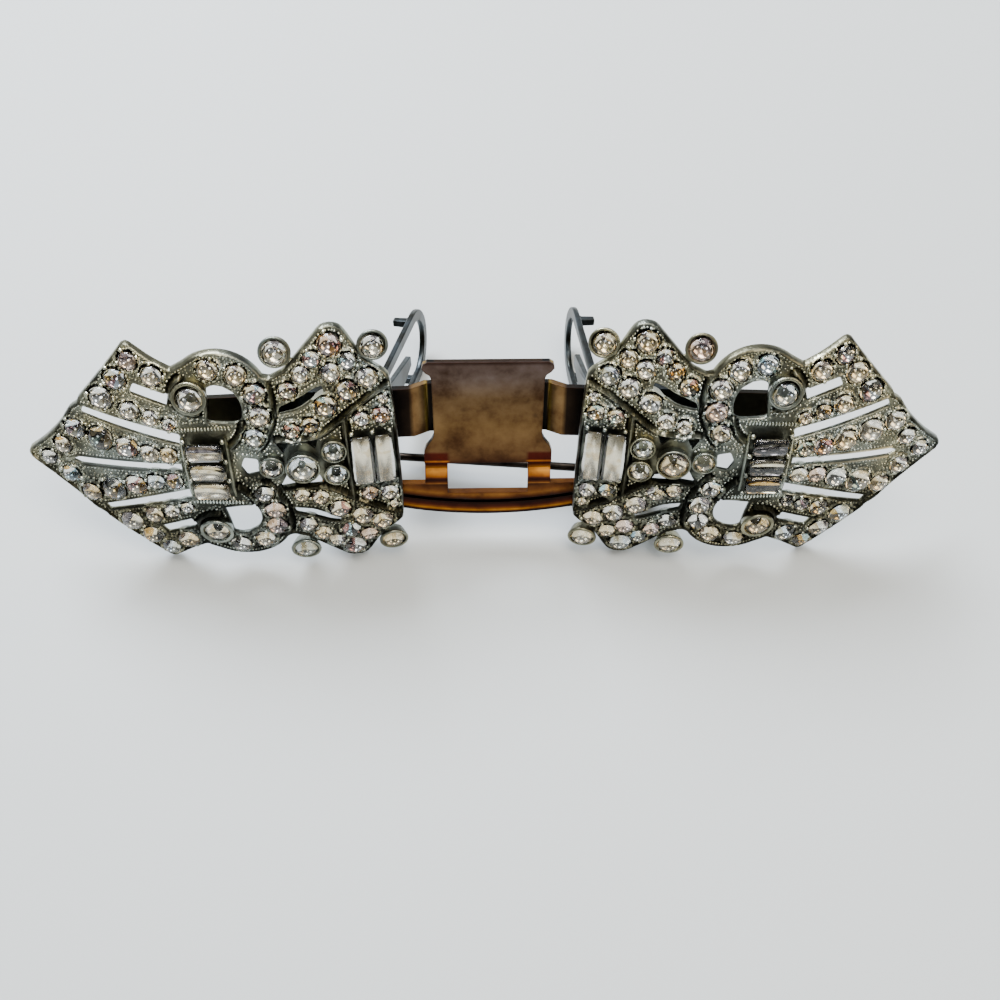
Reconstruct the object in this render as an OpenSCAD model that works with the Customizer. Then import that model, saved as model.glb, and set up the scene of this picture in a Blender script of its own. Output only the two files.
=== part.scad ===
// Double clip brooch: two domed, stone-set dress clips that slide onto a small brass frame.
// The frame carries a plain brooch pin, and each clip has a hinged flap on its back.
// Every clip is drawn once, for the right hand side, as u outward from the middle of the frame,
// v up its face and w out of its face. The left clip is its mirror image.

/* [Stance] */
// Lean of the whole face backwards from upright, resting on the open flaps, in degrees
lean = 29.2; // [25:0.1:32]
// Droop of each clip and of its frame arm towards its outer tip, in degrees
droop = 2.6; // [0:0.1:3]
// Lift that sets the lowest points on the surface below
stand_z = 10.586; // [10:0.01:16]
// Shift that puts the middle of the depth at the origin
stand_y = -4.436; // [-9:0.01:-3]

/* [Clip castings] */
// Height of the dome above the tip of the fan
dome_h = 4.0; // [3.6:0.1:4.4]
// Thickness of the cast metal sheet
sheet_t = 0.8; // [0.7:0.05:1.0]
// Width of the raised rims along every edge
rim_w = 0.3; // [0.26:0.02:0.32]
// Height of the raised rims
rim_h = 0.35; // [0.25:0.05:0.5]
// Height of a cut stone above its seat
stone_h = 0.75; // [0.5:0.05:0.9]
// Gap left under and beside every stone
seat_gap = 0.1; // [0.06:0.01:0.14]

/* [Flaps] */
// Half width of a flap across the clip
flap_half = 4.0; // [3.7:0.1:4.2]
// Reach of a flap from its hinge line to the crown of its arched end
flap_reach = 16.4; // [15:0.1:18]
// Thickness of the flap's steel
flap_t = 0.7; // [0.5:0.05:0.8]
// Width of the legs and of the arch
flap_leg = 1.25; // [1:0.05:1.5]
// Angle of the left flap past square, towards the middle, in degrees
left_open = 13.5; // [0:0.5:14]
// Angle of the right flap past square, towards the middle, in degrees
right_open = 5; // [0:0.5:14]

/* [Frame] */
// Half height of the centre plate's upper edge above the middle of the face
plate_top = 8.9; // [8.6:0.1:9.2]
// Thickness of the frame's brass sheet
brass_t = 0.6; // [0.5:0.05:0.7]
// Outer end of each strap arm, from the middle
arm_end = 26; // [25:0.5:27]
// Width of the strap arms
arm_w = 5.3; // [5:0.1:5.5]
// Radius of the pin wire
pin_r = 0.4; // [0.3:0.05:0.45]

/* [Hidden] */

eps = 0.01;
metal = [0.62, 0.61, 0.58];
crystal = [0.86, 0.86, 0.82];
brass = [0.45, 0.30, 0.14];
steel = [0.38, 0.40, 0.40];

// The dome: its crown is at crown_u, and it falls faster towards the tip than towards the middle.
crown_u = 22;
fall_out = dome_h / pow(42.5 - crown_u, 2);
fall_in = 0.0056;
fall_v = 0.0125;
function dome(u, v) = dome_h - (u > crown_u ? fall_out : fall_in) * pow(u - crown_u, 2) - fall_v * v * v;
function slope_u(u) = -2 * (u > crown_u ? fall_out : fall_in) * (u - crown_u);
function slope_v(v) = -2 * fall_v * v;
dome_cells = [9, 7];
dome_from = [6.57, -14.5];
dome_to = [43.78, 14.5];

// The point that a clip droops about
droop_u = 25;

// The curl: a round scroll beside the fan, its eye and the boss that it ends in
curl_u = 23.4;
curl_v = 6.75;
curl_r = 4.65;
boss_u = 25.8;
boss_v = 7.45;
boss_r = 1.6;

// Outline of the upper half of a clip, from the inner edge round to the tip of the fan
inner_edge = [[8.1, 2.4], [8.3, 7.2], [8.7, 8.5], [10.6, 9.9], [12.3, 12.5], [12.7, 12.85], [13.2, 13.0],
    [13.8, 12.9], [14.3, 12.5], [16.5, 10.2], [18.6, 8.8]];
curl_edge = [for (a = [150:-14:52]) [curl_u + curl_r * cos(a), curl_v + curl_r * sin(a)]];
fan_edge = [[27.3, 9.8], [30.4, 11.8], [31.0, 12.1], [31.6, 11.7], [36.2, 6.8], [36.5, 6.2], [37.3, 5.6],
    [38.6, 3.9], [40.4, 2.1], [42.1, 0.7], [42.4, 0.3]];

// Pierced work of the upper half
slot_a = [[27.75, 6.75], [27.6, 7.4], [30.8, 8.5], [31.1, 7.95]];
slot_b = [[27.4, 2.9], [27.4, 3.5], [35.9, 5.9], [36.1, 5.4]];
slot_c = [[27.8, -0.26], [27.8, 0.26], [37.4, 0.26], [38.3, 0], [37.4, -0.26]];
curl_eye = [[21.6, 4.7], [21.5, 6.4], [22.0, 7.5], [22.9, 8.2], [24.0, 8.3], [24.8, 7.8], [24.8, 5.0], [23.5, 4.8]];
ribbon_slot = [[14.3, 7.7], [16.2, 6.8], [18.2, 5.9], [18.3, 5.4], [16.0, 6.0], [14.2, 7.2]];
axis_eye = [[20.85, -0.7], [20.85, 0.7], [21.9, 0.9], [22.3, 0], [21.9, -0.9]];
wedge_outer = [[17.9, 2.3], [19.0, 2.5], [18.4, 1.4]];
wedge_inner = [[15.3, 2.5], [16.5, 2.5], [15.6, 1.5]];

// Round stones. Columns: place along u, place along v, radius at the girdle
fan_tip = [40.4, 0, 0.85];
fan_half = [
    [28.75, 1.5, 0.8], [30.5, 1.6, 0.85], [32.5, 2.15, 1.0], [34.85, 2.9, 1.15], [37.12, 3.62, 0.95],
    [38.7, 1.65, 0.85], [28.2, 4.75, 0.6], [29.77, 5.32, 0.72], [31.6, 5.95, 0.85], [34.0, 7.05, 1.05],
    [29.0, 9.3, 0.95], [30.95, 10.62, 0.83], [32.36, 8.92, 0.98]];
crest_half = [
    [24.0, 9.9, 0.9], [21.6, 9.3, 0.9], [20.2, 7.5, 0.85], [20.05, 5.3, 0.85], [20.75, 3.2, 0.8],
    [13.3, 11.4, 0.95], [14.9, 10.25, 0.75], [11.8, 9.78, 0.7], [13.4, 8.9, 0.85], [10.3, 8.1, 0.85],
    [12.1, 7.1, 0.95], [14.1, 5.8, 0.95], [16.0, 9.0, 0.8], [17.3, 7.6, 0.8], [15.7, 4.1, 0.75],
    [17.35, 3.66, 0.72], [9.35, 4.4, 0.78], [11.15, 4.2, 0.75], [9.05, 5.95, 0.44]];

// Raised settings. Columns: u, v, cup radius, cup height above the dome, stone radius
centre_cup = [16.8, 0, 1.65, 0.95, 1.35];
small_cup = [19.6, 0, 1.2, 0.45, 0.92];
inner_cup = [13.9, 1.28, 1.2, 0.55, 0.92];
boss_cup = [boss_u, boss_v, boss_r, 0.75, 1.2];
ball_cups = [[18.0, 11.1, 1.45, 0.35, 1.15], [9.6, 10.95, 1.4, 0.4, 1.1]];
// Where each ball cup's neck starts on the sheet. Columns: u, v
ball_necks = [[16.6, 9.6], [10.7, 9.6]];
neck_h = 0.5;

// Baguettes. Columns: u, v, length along u, length along v
bridge_baguettes = [[25.3, 2.15, 3.3, 1.9], [25.3, 0, 3.3, 1.9], [25.3, -2.15, 3.3, 1.9]];
end_baguettes = [[9.4, 0, 1.75, 5.3], [11.35, 0, 1.95, 5.3]];
bridge_lift = 0.35;
end_lift = 0.0;
bevel = 0.45;
corner = 0.35;

// Raised lines inside the outline of the upper half, each a list of u, v points
ribbon_line = [[8.4, 7.25], [10.2, 6.3], [12.2, 4.9], [14.8, 3.0], [17.0, 2.7], [18.9, 2.75]];
scroll_line = [[18.7, 8.3], [18.75, 6.5], [18.95, 4.6], [19.6, 3.0], [20.4, 1.9]];
end_line = [[12.6, -4.4], [12.6, 4.4]];

// Frame
arm_v = 2.35;
strap_back = -0.45;
strap_dip = -1.2;
rail_top = -5.1;
rail_window = -6.2;
rail_low_side = -8.0;
rail_low_mid = -8.8;
rail_half = 15.6;
rail_bow_half = 8;
rail_front = 0.15;
rail_back = -0.55;
groove_w = 0.35;
groove_d = 0.4;
plate_low = -2.3;
plate_back = 0.0;
waist = 5.1;
wing = 5.95;
tab_in = 3.8;

// Brooch pin behind the frame: its two ends, and the blocks that hold it
pin_from = [-15.6, -6.5, -6.9];
pin_to = [17.2, -6.5, -3.02];
pin_dir = pin_to - pin_from;
block_x = 15;
catch_x = 14.9;

// Hinge of a flap, behind the strap
hinge_u = 10.0;
hinge_w = -2.4;
knuckle_r = 0.8;
knuckle_half = 2.3;
hinge_pin_r = 0.4;
hinge_bore_r = 0.45;
ear_w = 0.9;
ear_gap = 0.08;
flap_base = 3.2;
tongue_end = 10.2;
tooth_at = 11.3;
tooth_l = 1.4;
bracket_t = 0.45;
sleeve_from = 12;
sleeve_to = 20;
sleeve_clear = 0.1;

module stand() {
    translate([0, stand_y, stand_z])
        rotate([90 - lean, 0, 0])
            children();
}

// Turns a clip, drawn for the right hand side, into its place on the named side
module side(name) {
    mirror([name == "left" ? 1 : 0, 0, 0])
        translate([droop_u, 0, 0])
            rotate([0, 0, -droop])
                translate([-droop_u, 0, 0])
                    children();
}

module place(name) {
    stand()
        side(name)
            children();
}

// Draws its children square to the dome at u, v, with their base lift above it
module on_dome(u, v, lift) {
    translate([u, v, dome(u, v) + lift])
        rotate([atan(slope_v(v)), -atan(slope_u(u)), 0])
            children();
}

function grid_u(i) = dome_from[0] + (dome_to[0] - dome_from[0]) * i / dome_cells[0];
function grid_v(j) = dome_from[1] + (dome_to[1] - dome_from[1]) * j / dome_cells[1];
function dome_point(i, j, lift) = [grid_u(i), grid_v(j), dome(grid_u(i), grid_v(j)) + lift];

// The solid between two levels that both follow the dome
module dome_shell(low, high) {
    nu = dome_cells[0];
    nv = dome_cells[1];
    layer = (nu + 1) * (nv + 1);
    points = [for (lift = [low, high]) for (j = [0:nv]) for (i = [0:nu]) dome_point(i, j, lift)];
    tops = [for (j = [0:nv - 1]) for (i = [0:nu - 1]) let (a = j * (nu + 1) + i + layer)
        each [[a, a + nu + 1, a + 1], [a + 1, a + nu + 1, a + nu + 2]]];
    floors = [for (j = [0:nv - 1]) for (i = [0:nu - 1]) let (a = j * (nu + 1) + i)
        each [[a, a + 1, a + nu + 1], [a + 1, a + nu + 2, a + nu + 1]]];
    rim = concat([for (i = [0:nu - 1]) i], [for (j = [0:nv - 1]) nu + j * (nu + 1)],
        [for (i = [nu:-1:1]) nv * (nu + 1) + i], [for (j = [nv:-1:1]) j * (nu + 1)]);
    n = len(rim);
    walls = [for (k = [0:n - 1]) [rim[k], rim[k] + layer, rim[(k + 1) % n] + layer, rim[(k + 1) % n]]];
    polyhedron(points, concat(tops, floors, walls), convexity = 4);
}

module domed(low, high) {
    intersection() {
        dome_shell(low, high);
        translate([0, 0, -20])
            linear_extrude(40)
                children();
    }
}

module both_halves() {
    children();
    mirror([0, 1])
        children();
}

// The same points mirrored across the clip's axis, in reverse order
function lower(points) = [for (k = [len(points) - 1:-1:0]) [points[k][0], -points[k][1]]];
half_edge = concat(inner_edge, curl_edge, fan_edge);

module outer_plan() {
    polygon(concat(half_edge, lower(half_edge)));
}

// The long slots between the rays and beside the ribbon, which have rims of their own
module main_slots() {
    polygon(slot_c);
    both_halves() {
        polygon(slot_a);
        polygon(slot_b);
        difference() {
            polygon(curl_eye);
            translate([boss_u, boss_v])
                circle(boss_r, $fn = 12);
        }
    }
}

module small_slots() {
    polygon(axis_eye);
    both_halves() {
        polygon(ribbon_slot);
        polygon(wedge_outer);
        polygon(wedge_inner);
    }
}

module line_2d(points, w) {
    for (k = [0:len(points) - 2])
        hull() {
            translate(points[k])
                circle(w / 2, $fn = 6);
            translate(points[k + 1])
                circle(w / 2, $fn = 6);
        }
}

// The sunk fields that the stones sit in, everywhere inside the rims and the raised lines
module sunk_plan() {
    difference() {
        offset(delta = -rim_w)
            difference() {
                outer_plan();
                main_slots();
            }
        both_halves() {
            line_2d(ribbon_line, rim_w);
            line_2d(scroll_line, rim_w);
        }
        line_2d(end_line, rim_w);
    }
}

// A round cup on the dome: wider at its mouth than at its foot, and hollowed for its stone
module cup(spec) {
    depth = stone_h * 0.5;
    foot = sheet_t * 0.8;
    on_dome(spec[0], spec[1], 0)
        difference() {
            hull() {
                translate([0, 0, -foot])
                    cylinder(h = eps, r = spec[2] * 0.8, $fn = 12);
                translate([0, 0, spec[3]])
                    cylinder(h = eps, r = spec[2], $fn = 12);
            }
            translate([0, 0, spec[3] - depth])
                cylinder(h = 2, r = spec[4] + seat_gap, $fn = 12);
        }
}

module ball_cup(spec, neck) {
    cup(spec);
    hull() {
        on_dome(neck[0], neck[1], -sheet_t * 0.8)
            cylinder(h = neck_h, r = 0.5, $fn = 8);
        on_dome((spec[0] + neck[0]) / 2, (spec[1] + neck[1]) / 2, -sheet_t * 0.8)
            cylinder(h = neck_h, r = 0.5, $fn = 8);
    }
}

// The two bars that hold the ends of the bridge baguettes
module bridge_bars() {
    for (u = [23.35, 27.25])
        hull()
            for (v = [-3.15, 0, 3.15])
                on_dome(u, v, -0.3)
                    translate([-0.2, -0.1, 0])
                        cube([0.4, 0.2, bridge_lift + 0.75]);
}

module casting() {
    union() {
        difference() {
            domed(-sheet_t, rim_h)
                outer_plan();
            domed(0, rim_h + 1)
                sunk_plan();
            linear_extrude(40, center = true) {
                main_slots();
                small_slots();
            }
        }
        cup(centre_cup);
        cup(small_cup);
        for (s = [1, -1]) {
            cup([inner_cup[0], s * inner_cup[1], inner_cup[2], inner_cup[3], inner_cup[4]]);
            mirror([0, s < 0 ? 1 : 0, 0]) {
                cup(boss_cup);
                for (k = [0, 1])
                    ball_cup(ball_cups[k], ball_necks[k]);
            }
        }
        bridge_bars();
    }
}

// A cut stone: a girdle, eight crown facets and a flat table
module round_stone(r, h) {
    hull() {
        cylinder(h = h * 0.2, r = r, $fn = 8);
        cylinder(h = h, r = r * 0.55, $fn = 8);
    }
}

module stone_field(rows) {
    for (row = rows)
        for (s = row[1] == 0 ? [1] : [1, -1])
            on_dome(row[0], s * row[1], seat_gap)
                round_stone(row[2], stone_h);
}

module cup_stone(spec, s) {
    on_dome(spec[0], s * spec[1], spec[3] - stone_h * 0.5 + seat_gap)
        round_stone(spec[4], stone_h * 1.15);
}

module octagon_plate(lu, lv, h) {
    linear_extrude(h)
        polygon([[-lu / 2 + corner, -lv / 2], [lu / 2 - corner, -lv / 2], [lu / 2, -lv / 2 + corner],
            [lu / 2, lv / 2 - corner], [lu / 2 - corner, lv / 2], [-lu / 2 + corner, lv / 2],
            [-lu / 2, lv / 2 - corner], [-lu / 2, -lv / 2 + corner]]);
}

// A step cut baguette: a girdle, eight sloping facets and a flat table
module baguette(spec, lift) {
    on_dome(spec[0], spec[1], lift + seat_gap)
        hull() {
            octagon_plate(spec[2], spec[3], 0.3);
            octagon_plate(spec[2] - 2 * bevel, spec[3] - 2 * bevel, 0.8);
        }
}

// Sleeve and hinge ears on a clip's back, soldered to the casting on two posts
module bracket() {
    out_v = [arm_v - arm_w / 2 - sleeve_clear, arm_v + arm_w / 2 + sleeve_clear];
    back = strap_back - sleeve_clear;
    front = rail_front + sleeve_clear;
    plate_u = [hinge_u - 0.6, sleeve_to];
    ear_v = knuckle_half + ear_gap;
    difference() {
        union() {
            translate([sleeve_from, out_v[0] - bracket_t, back - bracket_t])
                cube([sleeve_to - sleeve_from, out_v[1] - out_v[0] + 2 * bracket_t,
                    front - back + 2 * bracket_t]);
            translate([plate_u[0], -ear_v - ear_w, back - bracket_t])
                cube([plate_u[1] - plate_u[0], out_v[1] + bracket_t + ear_v + ear_w, bracket_t]);
            for (u = [14, 18.5])
                translate([u, arm_v, front])
                    cylinder(h = dome(u, arm_v) - sheet_t - 0.2 - front, r = 0.8, $fn = 24);
            for (s = [1, -1])
                translate([hinge_u, s * (ear_v + ear_w / 2) + ear_w / 2, hinge_w]) {
                    rotate([90, 0, 0])
                        cylinder(h = ear_w, r = knuckle_r, $fn = 32);
                    translate([-0.6, -ear_w, 0])
                        cube([1.2, ear_w, back - bracket_t / 2 - hinge_w]);
                }
        }
        translate([sleeve_from - 1, out_v[0], back])
            cube([sleeve_to - sleeve_from + 2, out_v[1] - out_v[0], front - back]);
    }
    translate([hinge_u, ear_v + ear_w, hinge_w])
        rotate([90, 0, 0])
            cylinder(h = 2 * (ear_v + ear_w), r = hinge_pin_r, $fn = 32);
}

// A flap, drawn flat from its hinge line along +x with its teeth along +z
module flap_flat() {
    arch_x = flap_reach - flap_half;
    inner = flap_half - flap_leg;
    clear_x = knuckle_r + 0.35;
    difference() {
        union() {
            translate([0, 0, -flap_t / 2])
                linear_extrude(flap_t)
                    difference() {
                        union() {
                            translate([clear_x, -flap_half])
                                square([arch_x - clear_x, 2 * flap_half]);
                            translate([arch_x, 0])
                                circle(flap_half, $fn = 48);
                            translate([0, -knuckle_half])
                                square([clear_x + 0.1, 2 * knuckle_half]);
                        }
                        difference() {
                            union() {
                                translate([flap_base, -inner])
                                    square([arch_x - flap_base, 2 * inner]);
                                translate([arch_x, 0])
                                    circle(inner, $fn = 48);
                            }
                            polygon([[flap_base - 0.1, -1.9], [tongue_end, -0.6], [tongue_end, 0.6],
                                [flap_base - 0.1, 1.9]]);
                        }
                    }
            translate([0, knuckle_half, 0])
                rotate([90, 0, 0])
                    cylinder(h = 2 * knuckle_half, r = knuckle_r, $fn = 32);
            for (s = [1, -1])
                translate([tooth_at, s * (flap_half - flap_leg / 2) - 0.4, 0])
                    cube([0.8, 0.8, flap_t / 2 + tooth_l]);
        }
        translate([0, knuckle_half + 1, 0])
            rotate([90, 0, 0])
                cylinder(h = 2 * knuckle_half + 2, r = hinge_bore_r, $fn = 32);
    }
}

// Opens a flat flap: square to the clip's back and then on towards the middle
module flap(open) {
    translate([hinge_u, 0, hinge_w])
        rotate([0, 90 + open, 0])
            flap_flat();
}

// Outline points of the centre plate's right half, from its top to its foot
plate_half = [[0, plate_top], [wing - 0.5, plate_top], [wing - 0.1, plate_top - 0.25], [wing, plate_top - 0.7],
    [wing - 0.3, plate_top - 1.1], [waist + 0.15, plate_top - 1.4], [waist, plate_top - 1.8], [waist - 0.1, 0.9],
    [waist + 0.15, 0.3], [wing - 0.2, -0.4], [wing, -1.0], [wing, plate_low], [0, plate_low]];
function mirrored(points) = [for (k = [len(points) - 1:-1:0]) [-points[k][0], points[k][1]]];

// Profile of the folded tabs below the plate, as v, w points
tab_profile = [[plate_low, brass_t], [plate_low - 0.3, 0.1], [plate_low - 0.75, -0.45], [plate_low - 1.3, -0.4],
    [plate_low - 2.3, 0.15], [rail_top - 0.2, rail_front], [rail_top - 0.2, -0.4], [plate_low - 2.3, -0.4],
    [plate_low - 1.5, -0.95], [plate_low - 0.6, -1.0], [plate_low, -0.4]];

bow = rail_low_side - rail_low_mid;
bow_r = (rail_bow_half * rail_bow_half + bow * bow) / (2 * bow);
bow_angle = asin(rail_bow_half / bow_r);
// Points of the rail's bowed lower line, raised by lift
function bow_line(lift) = [for (k = [-8:8]) let (a = bow_angle * k / 8)
    [bow_r * sin(a), rail_low_mid + bow_r * (1 - cos(a)) + lift]];

module strap_arm() {
    side("right")
        translate([0, arm_v + arm_w / 2, 0])
            rotate([90, 0, 0])
                linear_extrude(arm_w)
                    polygon([[4.2, strap_dip], [5.6, strap_dip], [7.0, strap_back], [arm_end, strap_back],
                        [arm_end, rail_front], [6.8, rail_front], [5.4, strap_dip + brass_t],
                        [4.2, strap_dip + brass_t]]);
}

module lower_rail() {
    difference() {
        translate([0, 0, rail_back])
            linear_extrude(rail_front - rail_back)
                difference() {
                    polygon(concat([[-rail_half, rail_top], [-rail_half, rail_low_side]], bow_line(0),
                        [[rail_half, rail_low_side], [rail_half, rail_top]]));
                    translate([-tab_in, rail_window])
                        square([2 * tab_in, 2]);
                }
        translate([0, 0, rail_front - groove_d])
            linear_extrude(1)
                polygon(concat([[-rail_half - 1, rail_low_side + 1.35]], bow_line(1.35),
                    [[rail_half + 1, rail_low_side + 1.35], [rail_half + 1, rail_low_side + 1.35 + groove_w]],
                    [for (k = [16:-1:0]) bow_line(1.35 + groove_w)[k]],
                    [[-rail_half - 1, rail_low_side + 1.35 + groove_w]]));
    }
}

module along_pin() {
    translate(pin_from)
        rotate([0, acos(pin_dir[2] / norm(pin_dir)), atan2(pin_dir[1], pin_dir[0])])
            children();
}

// A block behind the rail's left end that the pin is hinged in, and a hook at its right end
module pin_holders() {
    difference() {
        translate([-block_x - 0.9, -7.4, -7.7])
            cube([1.8, 1.8, 7.7 + rail_back + 0.2]);
        along_pin()
            translate([0, 0, -2])
                cylinder(h = 6, r = pin_r + 0.06, $fn = 32);
    }
    difference() {
        translate([catch_x - 0.7, -7.5, -4.3])
            cube([1.4, 2.0, 4.3 + rail_back + 0.2]);
        translate([catch_x - 1, -8, -3.26 - pin_r - 0.15])
            cube([2, 1.5 + pin_r + 0.15, 2 * pin_r + 0.3]);
    }
}

module frame() {
    color(brass)
        stand()
            union() {
                translate([0, 0, plate_back])
                    linear_extrude(brass_t)
                        polygon(concat(plate_half, mirrored(plate_half)));
                strap_arm();
                mirror([1, 0, 0])
                    strap_arm();
                translate([-4.8, 0.6, strap_dip])
                    cube([9.6, 4.8, brass_t]);
                translate([-3, 1.5, strap_dip])
                    cube([6, 3, plate_back - strap_dip + 0.1]);
                for (s = [1, -1])
                    translate([s > 0 ? tab_in : -wing, 0, 0])
                        rotate([90, 0, 90])
                            linear_extrude(wing - tab_in)
                                polygon(tab_profile);
                lower_rail();
                pin_holders();
            }
}

module pin_stem() {
    length = norm(pin_dir);
    color(steel)
        stand()
            along_pin() {
                cylinder(h = length - 1.6, r = pin_r, $fn = 32);
                translate([0, 0, length - 1.6])
                    cylinder(h = 1.6, r1 = pin_r, r2 = 0.08, $fn = 32);
            }
}

module clip_piece(name, hue) {
    color(hue)
        place(name)
            children();
}

frame();
pin_stem();

clip_piece("left", metal) casting();  // left_casting
clip_piece("left", crystal) stone_field(concat([fan_tip], fan_half));  // left_fan_stones
clip_piece("left", crystal) stone_field(crest_half);  // left_crest_stones
clip_piece("left", crystal) cup_stone(centre_cup, 1);  // left_centre_stone
clip_piece("left", crystal) cup_stone(small_cup, 1);  // left_small_stone
clip_piece("left", crystal) cup_stone(inner_cup, 1);  // left_inner_stone_upper
clip_piece("left", crystal) cup_stone(inner_cup, -1);  // left_inner_stone_lower
clip_piece("left", crystal) cup_stone(boss_cup, 1);  // left_curl_stone_upper
clip_piece("left", crystal) cup_stone(boss_cup, -1);  // left_curl_stone_lower
clip_piece("left", crystal) cup_stone(ball_cups[0], 1);  // left_ball_stone_1
clip_piece("left", crystal) cup_stone(ball_cups[1], 1);  // left_ball_stone_2
clip_piece("left", crystal) cup_stone(ball_cups[0], -1);  // left_ball_stone_3
clip_piece("left", crystal) cup_stone(ball_cups[1], -1);  // left_ball_stone_4
clip_piece("left", crystal) baguette(bridge_baguettes[0], bridge_lift);  // left_bridge_baguette_1
clip_piece("left", crystal) baguette(bridge_baguettes[1], bridge_lift);  // left_bridge_baguette_2
clip_piece("left", crystal) baguette(bridge_baguettes[2], bridge_lift);  // left_bridge_baguette_3
clip_piece("left", crystal) baguette(end_baguettes[0], end_lift);  // left_end_baguette_1
clip_piece("left", crystal) baguette(end_baguettes[1], end_lift);  // left_end_baguette_2
clip_piece("left", steel) bracket();  // left_bracket
clip_piece("left", steel) flap(left_open);  // left_flap

clip_piece("right", metal) casting();  // right_casting
clip_piece("right", crystal) stone_field(concat([fan_tip], fan_half));  // right_fan_stones
clip_piece("right", crystal) stone_field(crest_half);  // right_crest_stones
clip_piece("right", crystal) cup_stone(centre_cup, 1);  // right_centre_stone
clip_piece("right", crystal) cup_stone(small_cup, 1);  // right_small_stone
clip_piece("right", crystal) cup_stone(inner_cup, 1);  // right_inner_stone_upper
clip_piece("right", crystal) cup_stone(inner_cup, -1);  // right_inner_stone_lower
clip_piece("right", crystal) cup_stone(boss_cup, 1);  // right_curl_stone_upper
clip_piece("right", crystal) cup_stone(boss_cup, -1);  // right_curl_stone_lower
clip_piece("right", crystal) cup_stone(ball_cups[0], 1);  // right_ball_stone_1
clip_piece("right", crystal) cup_stone(ball_cups[1], 1);  // right_ball_stone_2
clip_piece("right", crystal) cup_stone(ball_cups[0], -1);  // right_ball_stone_3
clip_piece("right", crystal) cup_stone(ball_cups[1], -1);  // right_ball_stone_4
clip_piece("right", crystal) baguette(bridge_baguettes[0], bridge_lift);  // right_bridge_baguette_1
clip_piece("right", crystal) baguette(bridge_baguettes[1], bridge_lift);  // right_bridge_baguette_2
clip_piece("right", crystal) baguette(bridge_baguettes[2], bridge_lift);  // right_bridge_baguette_3
clip_piece("right", crystal) baguette(end_baguettes[0], end_lift);  // right_end_baguette_1
clip_piece("right", crystal) baguette(end_baguettes[1], end_lift);  // right_end_baguette_2
clip_piece("right", steel) bracket();  // right_bracket
clip_piece("right", steel) flap(right_open);  // right_flap
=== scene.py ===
"""Looks of the double clip brooch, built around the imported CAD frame.

Sketches are in millimetres and meshes in metres. A clip is drawn once, for the right hand side: u runs
outward from the middle of the brooch, v up its face and w out of it. The left clip is its mirror image.
"""

from __future__ import annotations

import logging
import math
from dataclasses import dataclass, field
from enum import Enum
from typing import Any, Iterable, Sequence

import bpy
import numpy as np
from mathutils import Matrix

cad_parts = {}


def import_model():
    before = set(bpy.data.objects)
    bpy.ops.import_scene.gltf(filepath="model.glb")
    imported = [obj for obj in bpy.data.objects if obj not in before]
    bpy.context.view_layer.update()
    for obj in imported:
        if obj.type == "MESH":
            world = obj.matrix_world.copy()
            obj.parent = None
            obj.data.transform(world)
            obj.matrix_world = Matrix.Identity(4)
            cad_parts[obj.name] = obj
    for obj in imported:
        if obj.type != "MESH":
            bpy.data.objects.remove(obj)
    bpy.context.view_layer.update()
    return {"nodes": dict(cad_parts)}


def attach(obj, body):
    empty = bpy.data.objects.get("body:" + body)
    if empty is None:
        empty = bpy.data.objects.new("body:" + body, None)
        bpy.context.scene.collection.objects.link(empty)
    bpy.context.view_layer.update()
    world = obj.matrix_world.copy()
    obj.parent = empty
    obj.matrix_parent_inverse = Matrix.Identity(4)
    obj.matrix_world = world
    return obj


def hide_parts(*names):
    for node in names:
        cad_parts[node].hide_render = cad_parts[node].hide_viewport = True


LOG = logging.getLogger("double_clip_brooch")
MM = 0.001
CURVE_STEP = 0.35
SHARP_DEG = 55.0
CASTING_SEED = 11
STONES_SEED = 31
Array = np.ndarray
Point = tuple[float, float]
Colour = tuple[float, float, float, float]


def linear(hex_colour: str) -> Colour:
    """Turn an sRGB hex colour into a linear one.

    Args:
        hex_colour: six hex digits, such as "a08c50".

    Returns:
        Linear red, green and blue, and an alpha of 1.
    """
    parts = [int(hex_colour[k : k + 2], 16) / 255 for k in (0, 2, 4)]
    red, green, blue = (c / 12.92 if c <= 0.04045 else ((c + 0.055) / 1.055) ** 2.4 for c in parts)
    return (red, green, blue, 1.0)


def smoothstep(low: float, high: float, value: Array) -> Array:
    """Ease from 0 to 1 while value goes from low to high."""
    share = np.clip((value - low) / (high - low), 0, 1)
    return share * share * (3 - 2 * share)


def turn(axis: str, degrees: float) -> Array:
    """Rotation matrix about one axis."""
    return np.array(Matrix.Rotation(math.radians(degrees), 3, axis))


class Side(Enum):
    """Which of the two clips."""

    LEFT = "left"
    RIGHT = "right"


@dataclass(frozen=True)
class Stance:
    """How the brooch's upright face leans back and is lifted onto the surface."""

    lean_deg: float = 29.2
    shift: float = -4.436
    lift: float = 10.586

    def turned(self) -> Array:
        """Rotation from the face's own axes to the row frame."""
        return turn("X", 90 - self.lean_deg)

    def to_row(self, points: Array) -> Array:
        """Points of the face, in mm, as row frame points in metres."""
        return (points @ self.turned().T + [0, self.shift, self.lift]) * MM


@dataclass(frozen=True)
class ClipPlace:
    """Where a clip's sketch lands: mirrored or not, and drooping a little towards its tip."""

    side: Side
    stance: Stance = Stance()
    droop_deg: float = 2.6
    pivot_u: float = 25.0

    @property
    def mirrored(self) -> bool:
        """True for the left clip, whose faces have to be wound the other way."""
        return self.side is Side.LEFT

    def to_row(self, points: Array) -> Array:
        """Points of the clip's sketch, in mm, as row frame points in metres.

        Args:
            points: rows of u, v, w.

        Returns:
            Rows of x, y, z.
        """
        pivot = np.array([self.pivot_u, 0, 0])
        placed = (points - pivot) @ turn("Z", -self.droop_deg).T + pivot
        return self.stance.to_row(placed * [-1, 1, 1] if self.mirrored else placed)


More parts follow.
